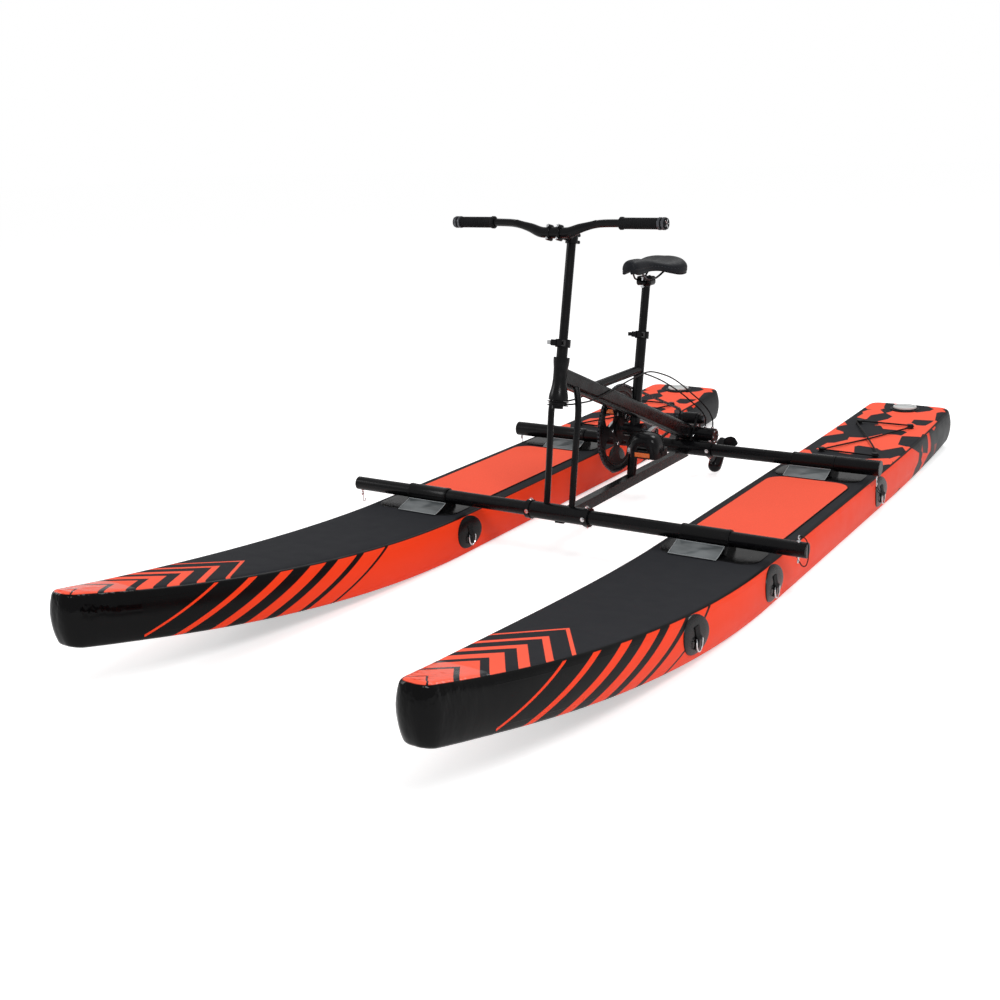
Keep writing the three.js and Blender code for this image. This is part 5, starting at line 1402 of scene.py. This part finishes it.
def saddle_places(station, section):
    """Places round one station, for (across, up) shares of its half width and its depth."""
    along, width_share, top_share, depth_share = station
    half = SADDLE_NOSE_HALF * width_share
    wide = max(0, (half - SADDLE_NOSE_HALF) / (SADDLE_HALF_WIDTH - SADDLE_NOSE_HALF))
    depth = (SADDLE_NOSE_DEPTH + (SADDLE_WING_DEPTH - SADDLE_NOSE_DEPTH) * wide) * depth_share
    top = SADDLE_TOP_Z + SADDLE_LENGTH * top_share
    y = SADDLE_NOSE_Y + SADDLE_LENGTH * along
    start, length = CHANNEL_REACH
    channel = SADDLE_CHANNEL * max(0, math.sin(math.pi * min(1, max(0, (along - start) / length)))) ** 0.5
    least_across, least_up = PANEL_EDGES
    places = []
    for across, up in section:
        x = half * across
        dip = channel * math.exp(-(x / CHANNEL_HALF) ** 2) if up > CHANNEL_LOWEST else 0
        panel = 0
        if abs(across) > least_across and up > least_up:
            panel = PANEL_DIP * math.exp(-((up - SADDLE_SEAM) / PANEL_SPREAD) ** 2)
        places.append(Vector((x - math.copysign(panel, across), y, top - depth * (1 - up) - dip)))
    return places


# Trim of the saddle and its clamp head
RIM_SPOT = (0.96, 0.05)
RIM_SHIFT = Vector((-0.0015, 0, -0.0006))
RIM_RADIUS = 0.0021
SEAM_SPOT = (0.985, 0.39)
SEAM_SHIFT = Vector((0.0007, 0, 0))
CLAMP_NECK = [(CENTRE, 0), (0.0142, 0), (0.0150, 0.004), (0.0136, 0.012), (CENTRE, 0.012)]
CLAMP_CORNER = 0.006
CLAMP_CRADLE = [(0.004, 0.006), (0.0012, 0.010), (0, 0.0125), (0, 0.0215), (0.0012, 0.0228)]
CLAMP_TOP = [(0.0008, 0.0270), (0, 0.0278), (0, 0.0320), (0.0016, 0.0345), (0.008, 0.0352)]
CLAMP_PLATES = [(0.0265, 0.0215, CLAMP_CORNER, CLAMP_CRADLE), (0.0270, 0.0165, CLAMP_CORNER, CLAMP_TOP)]
CLAMP_REST = 0.022
EAR_BACK = 0.0265
EAR_DROP = 0.006
EAR = (0.0076, -0.012, 0.012, 0.0006, 0.002)
EAR_WEB = (0.009, 0.011, 0.001)
CLAMP_BOLT = (0.0030, -0.022, 0.010)
CLAMP_BOLT_HEAD = 0.0046
CLAMP_NUT_DROP = 0.018
CLAMP_NUT_HEIGHT = 0.004


def saddle_lines(stations, spot, shift):
    """A line down each side of the saddle, at an (across, up) share and shifted off its surface."""
    lines = []
    for sign in (1, -1):
        edges = [saddle_places(station, [(sign * spot[0], spot[1])])[0] for station in stations]
        lines.append([edge + Vector((sign * shift.x, shift.y, shift.z)) for edge in edges])
    return lines


def bike_saddle():
    section_line = curve_through([(across, up, 0) for across, up in SADDLE_SECTION], 6)
    right = [(max(0, place.x), place.y) for place in section_line]
    loop = right + [(-across, up) for across, up in right[1:-1][::-1]]
    tops = curve_through([station[:3] for station in SADDLE_STATIONS], 6)
    depths = curve_through([(share, depth, 0) for share, width, top, depth in SADDLE_STATIONS], 6)
    stations = [(*place, low.y) for place, low in zip(tops, depths)]
    cover = Build().rings([saddle_places(station, loop) for station in stations])
    made = cover.piece("saddle_cover", "seat", "saddle_cover", replaced=["saddle"])
    rim = Build()
    for line in saddle_lines(stations[3:-1], RIM_SPOT, RIM_SHIFT):
        rim.tube(line, RIM_RADIUS, 10)
    rim.piece("saddle_rim", "seat", "saddle_cover", "black_plastic")
    stitches = Build()
    for line in saddle_lines(stations[6:-3], SEAM_SPOT, SEAM_SHIFT):
        for start, end in list(zip(line, line[1:]))[::2]:
            stitches.tube([start, (start + end) / 2, start.lerp(end, 0.9)], STITCH_RADII, 6)
    stitches.piece("saddle_stitching", "seat", "saddle_cover", "pale_thread")


# Cranks, pedals and chain
CRANK_PLACE = Vector((0, 0.202, 0.329))
CRANK_DROP = math.radians(8)
CRANK_LENGTH = 0.17
PORT_ARM_X = 0.065
STARBOARD_ARM_X = 0.074
ARM_THICKNESS = 0.015
PEDAL_WIDTH = 0.096
PEDAL_HALF_LENGTH = 0.048
PEDAL_HALF_DEPTH = 0.012
PEDAL_GAP = 0.007
CAGE_HEIGHT = 0.052


CRANK_CAP = [
    (0.0074, -0.0006), (0.0112, -0.0006), (0.0118, 0.0002), (0.0118, 0.0018), (0.0106, 0.0028),
    (0.0078, 0.0028),
]
CRANK_BOLT = [
    (CENTRE, 0.0002), (0.0076, 0.0002), (0.0076, 0.0016), (0.0048, 0.0018), (0.0044, 0.0010),
    (CENTRE, 0.0010),
]
CHAIN_X = -0.058
RING_BOLTS = 5
RING_BOLT_CIRCLE = 0.052
RING_BOLT_RADIUS = 0.0055
RING_HALF = 0.0015
RING_RIM = [
    (0.1215, 0.0014), (0.1232, 0.0020), (0.1290, 0.0020), (0.1306, 0.0014), (0.1306, 0.0006),
    (0.1215, 0.0006),
]


def crank_caps():
    caps = Build()
    bolts = Build()
    for sign, start in ((1, PORT_ARM_X), (-1, STARBOARD_ARM_X)):
        face = CRANK_PLACE + ACROSS * sign * (start + ARM_THICKNESS)
        caps.revolve(CRANK_CAP, face, ACROSS * sign, 32, loop=True)
        bolts.revolve(CRANK_BOLT, face, ACROSS * sign, 24)
    caps.piece("crank_cap_rings", "crank", "silver_alloy", "black_plastic")
    bolts.piece("crank_bolts", "crank", "dark_steel")


def ring_bolts():
    bolts = Build()
    face = Build()
    centre = CRANK_PLACE + ACROSS * CHAIN_X
    for bolt in range(RING_BOLTS):
        turn = FULL_TURN * (bolt + 0.5) / RING_BOLTS
        place = centre + Vector((0, math.cos(turn), math.sin(turn))) * RING_BOLT_CIRCLE
        for sign in (1, -1):
            out = ACROSS * sign
            socket_head(bolts, place + out * RING_HALF, out, RING_BOLT_RADIUS)
    for sign in (1, -1):
        face.revolve(RING_RIM, centre, ACROSS * sign, 96, loop=True)
    bolts.piece("chainring_bolts", "crank", "dark_steel", "bright_steel")
    face.piece("chainring_rim", "crank", "black_paint")


# Pedals: reflectors and their rims, studs, end caps and toe cages
LENS_HALF = Vector((0.026, 0.0012, 0.0072))
LENS_RIM = (0.0285, 0.0092, 0.003)
LENS_RIM_RADIUS = 0.0015
LENS_BEVEL = 0.0006
STUDS = 6
STUD_INSET = 0.014
STUD_BACK = 0.0052
STUD = [(0.0004, -0.0008), (0.0021, -0.0008), (0.0018, 0.0016), (0.0004, 0.0018)]
PEDAL_CAP = [(CENTRE, -0.002), (0.0078, -0.002), (0.0078, 0.0008), (0.0066, 0.0018), (CENTRE, 0.0018)]
CAGE_STATIONS = [
    (-0.0470, 0.42, 0.30), (-0.0478, 0.62, 0.52), (-0.0460, 0.80, 0.74), (-0.0410, 0.93, 0.89),
    (-0.0330, 1.0, 0.97), (-0.0200, 1.0, 1.0), (-0.0060, 1.0, 1.0), (0.0080, 1.0, 0.985),
]
CAGE_HALF_WIDTH = 0.0490
CAGE_WALL = 0.0024
CAGE_FOOT = 0.006
CAGE_FLAT = 0.62
CAGE_TALL = 0.78
CAGE_TOE_Y = -0.04
CAGE_BEAD = 0.0019
ARCH_STEPS = 28


def pedal_details(side, sign):
    heading = math.pi + CRANK_DROP if sign > 0 else CRANK_DROP
    arm_x = (PORT_ARM_X if sign > 0 else STARBOARD_ARM_X) + ARM_THICKNESS
    arm_end = CRANK_PLACE + Vector((0, math.cos(heading), math.sin(heading))) * CRANK_LENGTH
    centre = arm_end + ACROSS * sign * (arm_x + PEDAL_GAP + PEDAL_WIDTH / 2)
    body = f"{side}_pedal"
    lenses = Build()
    frames = Build()
    studs = Build()
    outline = rounded_outline(*LENS_RIM, 4)
    span = PEDAL_WIDTH - 2 * STUD_INSET
    for facing in (1, -1):
        place = centre + Vector((0, facing * PEDAL_HALF_LENGTH, 0))
        lenses.block(place - LENS_HALF, place + LENS_HALF)
        frames.tube([place + Vector((sign * x, 0, z)) for x, z in outline], LENS_RIM_RADIUS, 8, closed=True)
        for level in (1, -1):
            for stud in range(STUDS):
                x = span * (stud / (STUDS - 1) - 0.5)
                reach = Vector((sign * x, -facing * STUD_BACK, level * PEDAL_HALF_DEPTH))
                studs.revolve(STUD, place + reach, UP * level, 10)
    bevel(lenses.piece(f"{side}_pedal_reflectors", body, "black_plastic", "reflector"), LENS_BEVEL)
    frames.piece(f"{side}_pedal_reflector_rims", body, "black_plastic")
    studs.piece(f"{side}_pedal_studs", body, "black_plastic")
    cap = Build().revolve(PEDAL_CAP, centre + ACROSS * sign * PEDAL_WIDTH / 2, ACROSS * sign, 28)
    cap.piece(f"{side}_pedal_end_cap", body, "black_plastic")
    toe_cage(side, sign, centre, body)


def toe_cage(side, sign, centre, body):
    """A moulded toe cage: arches across the pedal that close in towards the toes."""
    outer, inner = [], []
    for y, wide, tall in CAGE_STATIONS:
        for wall, into in ((0, outer), (CAGE_WALL, inner)):
            for step in range(ARCH_STEPS + 1):
                turn = math.pi * step / ARCH_STEPS
                flat = math.copysign(abs(math.cos(turn)) ** CAGE_FLAT, math.cos(turn))
                out = (CAGE_HALF_WIDTH * wide - wall) * flat
                up = (CAGE_HEIGHT * tall + CAGE_FOOT - wall) * math.sin(turn) ** CAGE_TALL
                back = y + (wall if y < CAGE_TOE_Y else 0)
                into.append(centre + Vector((sign * out, back, PEDAL_HALF_DEPTH - CAGE_FOOT + up)))
    columns = ARCH_STEPS + 1
    cage = Build()
    cage.shell(outer, inner, columns)
    cage.piece(f"{side}_toe_cage", body, "black_webbing", "gloss_plastic", replaced=[f"{side}_toe_strap"])
    bead = Build().tube(outer[:columns], CAGE_BEAD, 8).tube(outer[-columns:], CAGE_BEAD, 8)
    bead.piece(f"{side}_toe_cage_beads", body, "black_webbing", "gloss_plastic")


CHAIN_PITCH = 0.0127
RING_TEETH = 72
SPROCKET_TEETH = 16
def saddle_clamp():
    low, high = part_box("saddle_clamp")
    foot = Vector((0, (low.y + high.y) / 2, low.z))
    rest = foot + UP * CLAMP_REST
    head = Build().revolve(CLAMP_NECK, foot, UP, 32)
    for plate in CLAMP_PLATES:
        head.rings(plate_rings(foot, *plate))
    bolts = Build()
    half, bottom, top = EAR_WEB
    for sign in (1, -1):
        place = rest + Vector((0, sign * EAR_BACK, 0))
        head.revolve(barrel(*EAR), place - UP * EAR_DROP, ACROSS, 24)
        near, far = sorted((place.y, foot.y))
        head.block((-half, near, rest.z - bottom), (half, far, rest.z - top))
        bolts.revolve(disc(*CLAMP_BOLT), place, UP, 16)
        socket_head(bolts, place + UP * CLAMP_BOLT[2], UP, CLAMP_BOLT_HEAD)
        hex_head(bolts, place - UP * CLAMP_NUT_DROP, -UP, CLAMP_BOLT_HEAD, CLAMP_NUT_HEIGHT)
    head.piece("saddle_clamp_head", "seat", "black_paint", replaced=["saddle_clamp"])
    bolts.piece("saddle_clamp_bolts", "seat", "dark_steel", "bright_steel")


DRIVE_PLACE = Vector((0, 0.662, 0.272))
CHAIN_INNER_GAP = 0.0044
PLATE_THICKNESS = 0.0006
PLATE_RADIUS = 0.0042
PLATE_WAIST = 0.0028
ROLLER_RADIUS = 0.0034


LINK_FAN = [math.radians(turn) for turn in range(-78, 79, 26)]
PIN_RADIUS = 0.0017
PIN_OVER = 3.3


def wheel_radius(teeth):
    return CHAIN_PITCH / (2 * math.sin(math.pi / teeth))


def wrapped(teeth, middle, first, last):
    """The rollers that lie on a wheel, from one angle to another."""
    step = FULL_TURN / teeth
    turns = [tooth * step for tooth in range(math.ceil(first / step), math.floor(last / step) + 1)]
    reach = wheel_radius(teeth)
    return [middle + Vector((CHAIN_X, math.cos(turn) * reach, math.sin(turn) * reach)) for turn in turns]


def straight_run(start, end):
    """The rollers between two wheels."""
    links = round((end - start).length / CHAIN_PITCH)
    return [start.lerp(end, link / links) for link in range(1, links)]


def chain_rollers():
    """Every roller's place, once round both wheels."""
    run = DRIVE_PLACE - CRANK_PLACE
    heading = math.atan2(run.z, run.y)
    slant = math.acos((wheel_radius(RING_TEETH) - wheel_radius(SPROCKET_TEETH)) / run.length)
    big = wrapped(RING_TEETH, CRANK_PLACE, heading + slant, heading + FULL_TURN - slant)
    small = wrapped(SPROCKET_TEETH, DRIVE_PLACE, heading - slant, heading + slant)
    return [*big, *straight_run(big[-1], small[0]), *small, *straight_run(small[-1], big[0])]


def link_plate(build, start, end, x):
    """One waisted link plate between two rollers."""
    heading = (end - start).normalized()
    side = ACROSS.cross(heading)
    outline = []
    for place, facing in ((end, 1), (start, -1)):
        for turn in LINK_FAN:
            reach = heading * math.cos(turn) + side * math.sin(turn)
            outline.append(place + reach * facing * PLATE_RADIUS)
        outline.append((start + end) / 2 + side * facing * PLATE_WAIST)
    build.rings([[place + ACROSS * (x + layer) for place in outline]
                 for layer in (-PLATE_THICKNESS, PLATE_THICKNESS)])


def drive_chain():
    rollers = chain_rollers()
    plates = Build()
    pins = Build()
    half = CHAIN_INNER_GAP / 2
    inner = half + PLATE_THICKNESS
    reach = inner + PIN_OVER * PLATE_THICKNESS
    for index, start in enumerate(rollers):
        end = rollers[(index + 1) % len(rollers)]
        x = inner if index % 2 else inner + 2 * PLATE_THICKNESS
        link_plate(plates, start, end, x)
        link_plate(plates, start, end, -x)
        pins.revolve(disc(PIN_RADIUS, -reach, reach), start, ACROSS, 10)
        roller = [(PIN_RADIUS, -half), (ROLLER_RADIUS, -half), (ROLLER_RADIUS, half), (PIN_RADIUS, half)]
        pins.revolve(roller, start, ACROSS, 12)
    plates.piece("chain_plates", "frame", "dark_steel", "chain_steel", replaced=["chain"])
    pins.piece("chain_rollers", "frame", "dark_steel")


# Small hardware at the beams' ends
FRONT_EYE_X = 0.755
STARBOARD_HOOK_X = -0.768
REAR_HOOK_X = 0.7


EYE_WASHER = (0.0058, -0.002, 0.0012)
EYE_SHANK = (0.0019, 0, 0.0065)
EYE_UP = 0.0112
EYE_RADIUS = 0.0052
EYE_WIRE = 0.0016
HOOK_POINTS = [
    (-0.0035, -0.002), (-0.0042, 0.002), (-0.001, 0.0052), (0.0032, 0.003), (0.003, -0.003),
    (0.0005, -0.010),
    (-0.0005, -0.014), (-0.0005, -0.020), (0.0035, -0.0255), (0.0090, -0.0245), (0.0112, -0.019),
    (0.0095, -0.015),
]
HOOK_WIRE = 0.0015
HOOK_PLACE = Vector((0, 0.0005, -0.0165))
LOOP_RADIUS = 0.0015
LOOP_POINTS = [
    (0, 0, 0.034), (0.006, 0, 0.0375), (0.018, 0, 0.033), (0.027, -0.002, 0.018), (0.029, -0.003, -0.004),
    (0.028, -0.002, -0.026), (0.022, 0, -0.044), (0.012, 0, -0.046), (0.003, 0, -0.0345),
]
TIE_RADIUS = 0.0016
TIE_START = Vector((0, 0.006, -0.040))
TIE_SAG = Vector((0.001, 0, -0.006))
TIE_OUT = 0.0085


def eye(build, place, up):
    """An eye bolt: a shank, a washer and a ring."""
    build.revolve(disc(*EYE_WASHER), place, up, 20)
    build.revolve(disc(*EYE_SHANK), place, up, 12)
    ring = circle(place + up * EYE_UP, Vector((0, EYE_RADIUS, 0)), UP * EYE_RADIUS, 24)
    build.tube(ring, EYE_WIRE, 10, closed=True)


def beam_hardware():
    """Eye bolts, and an S hook that hangs from each but the front ones."""
    metal_parts = Build()
    under = -UP * BEAM_RADIUS
    front = Vector((FRONT_EYE_X, FRONT_BEAM_Y, BEAM_Z))
    eye(metal_parts, front - under, UP)
    eye(metal_parts, front + under, -UP)
    for x, y in ((STARBOARD_HOOK_X, FRONT_BEAM_Y), (-REAR_HOOK_X, REAR_BEAM_Y), (REAR_HOOK_X, REAR_BEAM_Y)):
        place = Vector((x, y, BEAM_Z)) + under
        eye(metal_parts, place, -UP)
        line = curve_through([place + HOOK_PLACE + Vector((0, *point)) for point in HOOK_POINTS], 6)
        metal_parts.tube(line, HOOK_WIRE, 10)
    metal_parts.piece("beam_eyes_and_hooks", "frame", "dark_steel", "bright_steel")
    points = curve_through([front + Vector(point) for point in LOOP_POINTS], 5)
    loop = Build().tube(points, LOOP_RADIUS, 10)
    made = loop.piece("beam_end_cord", "frame", "black_rubber", "black_webbing")
    path_length(points)
    ring_place = wall_place(1, 1, RING_PLACES[1][-1], RING_SHARE, TIE_OUT)
    start = Vector((REAR_HOOK_X, REAR_BEAM_Y, BEAM_Z)) + under + TIE_START
    tie = curve_through([start, start.lerp(ring_place, 0.5) + TIE_SAG, ring_place], 10)
    made = Build().tube(tie, TIE_RADIUS, 8).piece("rear_tie_cord", "frame", "black_rubber", "black_webbing")
    path_length(tie)


SLEEVE_BOLT_X = 0.098
SLEEVE_BOLT_OUT = 0.0300
SLEEVE_BOLT = (0.0045, 0.0045)
CHEEK_X = 0.0322
CHEEK_BOLTS = ((0.605, 0.222), (0.640, 0.214), (0.645, 0.252))
CHEEK_BOLT_RADIUS = 0.0042
COVER_PLACE = Vector((0.1002, 0.650, 0.218))
COVER_BOLTS = 6
COVER_BOLT_CIRCLE = 0.0215
COVER_BOLT_RADIUS = 0.0030


def beam_bolts():
    """Bolts through the sleeves and brackets, where the real frame is pinned together."""
    bolts = Build()
    for y in (FRONT_BEAM_Y, REAR_BEAM_Y):
        for x in (-SLEEVE_BOLT_X, SLEEVE_BOLT_X):
            for out in (UP, -UP, Vector((0, -1, 0))):
                hex_head(bolts, Vector((x, y, BEAM_Z)) + out * SLEEVE_BOLT_OUT, out, *SLEEVE_BOLT)
    bolts.piece("sleeve_bolts", "frame", "dark_steel", "bright_steel")
    cheeks = Build()
    for sign in (1, -1):
        for y, z in CHEEK_BOLTS:
            socket_head(cheeks, Vector((sign * CHEEK_X, y, z)), ACROSS * sign, CHEEK_BOLT_RADIUS)
    reach = Vector((0, COVER_BOLT_CIRCLE, 0))
    for place in circle(COVER_PLACE, reach, UP * COVER_BOLT_CIRCLE, COVER_BOLTS):
        socket_head(cheeks, place, ACROSS, COVER_BOLT_RADIUS)
    cheeks.piece("drive_housing_bolts", "frame", "dark_steel", "bright_steel")


for side, sign in SIDES.items():
    steering_cable(side, sign)
    grip(side, sign)
    pedal_details(side, sign)
bar_swell()
stem_details()
bike_saddle()
saddle_clamp()
crank_caps()
ring_bolts()
drive_chain()
beam_hardware()
beam_bolts()


# Carried-over nodes get their record slot's material and rounded facets, but toothed wheels only a bevel
PLATE_BEVEL = 0.0002
PLATED_NODES = ("chain", "chainring", "drive_sprocket")
for part in frame["record"]["subparts"]:
    carried = frame["nodes"][part["node"]]
    if carried.hide_render:
        continue
    carried.data.materials.clear()
    carried.data.materials.append(MATERIALS[part["material_slot"]])
    if part["node"] in PLATED_NODES:
        bevel(carried, PLATE_BEVEL, 1)
    else:
        refine(carried)


# Floor, light and camera
FLOOR_HALF = 40
FLOOR_DROP = 0.0005
FLOOR_COLOR = tint(242, 242, 242)
FLOOR_GLOW = 0.5
MIRRORED_GLOW = 0.2
WHITE = (1, 1, 1, 1)
WORLD_LIGHT = 0.56
LAMP_TARGET = Vector((0, 0, 0.3))
LAMPS = {
    "key": ((3.2, -3.4, 4.2), 1.5, 135),
    "fill": ((-4.5, -2.2, 2.6), 1.8, 50),
    "top": ((0.5, 3.5, 4.5), 1.8, 75),
}


def stage_floor():
    corners = [(x * FLOOR_HALF, y * FLOOR_HALF, 0) for x, y in ((-1, -1), (1, -1), (1, 1), (-1, 1))]
    floor = link_mesh("floor", corners, [[0, 1, 2, 3]])
    floor.location.z = -FLOOR_DROP
    shader = Shader("floor", FLOOR_COLOR, 0.9, specular=0)
    path = shader.node("ShaderNodeLightPath")
    camera, glossy, through = [Value(shader, path.outputs[f"Is {kind} Ray"])
                               for kind in ("Camera", "Glossy", "Transmission")]
    seen = camera.highest(glossy.highest(through) * MIRRORED_GLOW)
    shader.set("Emission Color", WHITE)
    shader.set("Emission Strength", seen * FLOOR_GLOW)
    floor.data.materials.append(shader.material)


def lamp(name, place, size, power):
    data = bpy.data.lights.new(name, "AREA")
    data.size = size
    data.energy = power
    made = bpy.data.objects.new(name, data)
    made.location = place
    made.rotation_mode = "QUATERNION"
    made.rotation_quaternion = (LAMP_TARGET - Vector(place)).to_track_quat("-Z", "Y")
    bpy.context.scene.collection.objects.link(made)


def light_scene():
    world = bpy.data.worlds.new("studio")
    bpy.context.scene.world = world
    world.use_nodes = True
    tree = world.node_tree
    background = tree.nodes["Background"]
    path = tree.nodes.new("ShaderNodeLightPath")
    strength = tree.nodes.new("ShaderNodeMapRange")
    strength.inputs[3].default_value = WORLD_LIGHT
    strength.inputs[4].default_value = 1.0
    tree.links.new(path.outputs["Is Camera Ray"], strength.inputs[0])
    tree.links.new(strength.outputs[0], background.inputs["Strength"])
    background.inputs["Color"].default_value = WHITE
    for name, (place, size, power) in LAMPS.items():
        lamp(name, place, size, power)


def photo_camera():
    data = bpy.data.cameras.new("camera")
    data.sensor_width = SENSOR_WIDTH
    data.lens = FOCAL_PIXELS / FRAME_PIXELS * SENSOR_WIDTH
    data.clip_end = 200
    made = bpy.data.objects.new("camera", data)
    bpy.context.scene.collection.objects.link(made)
    right = Vector((math.cos(CAMERA_AZIMUTH), math.sin(CAMERA_AZIMUTH), 0))
    level = math.cos(CAMERA_PITCH)
    heading = Vector((-math.sin(CAMERA_AZIMUTH), math.cos(CAMERA_AZIMUTH), 0))
    ahead = heading * level - UP * math.sin(CAMERA_PITCH)
    up = right.cross(ahead)
    rolled_right = right * math.cos(CAMERA_ROLL) + up * math.sin(CAMERA_ROLL)
    rolled_up = up * math.cos(CAMERA_ROLL) - right * math.sin(CAMERA_ROLL)
    turn = Matrix((rolled_right, rolled_up, -ahead)).transposed().to_4x4()
    made.matrix_world = Matrix.Translation(CAMERA_PLACE) @ turn
    bpy.context.scene.camera = made


stage_floor()
light_scene()
photo_camera()
bpy.context.scene.view_settings.view_transform = "Standard"

bpy.context.view_layer.update()
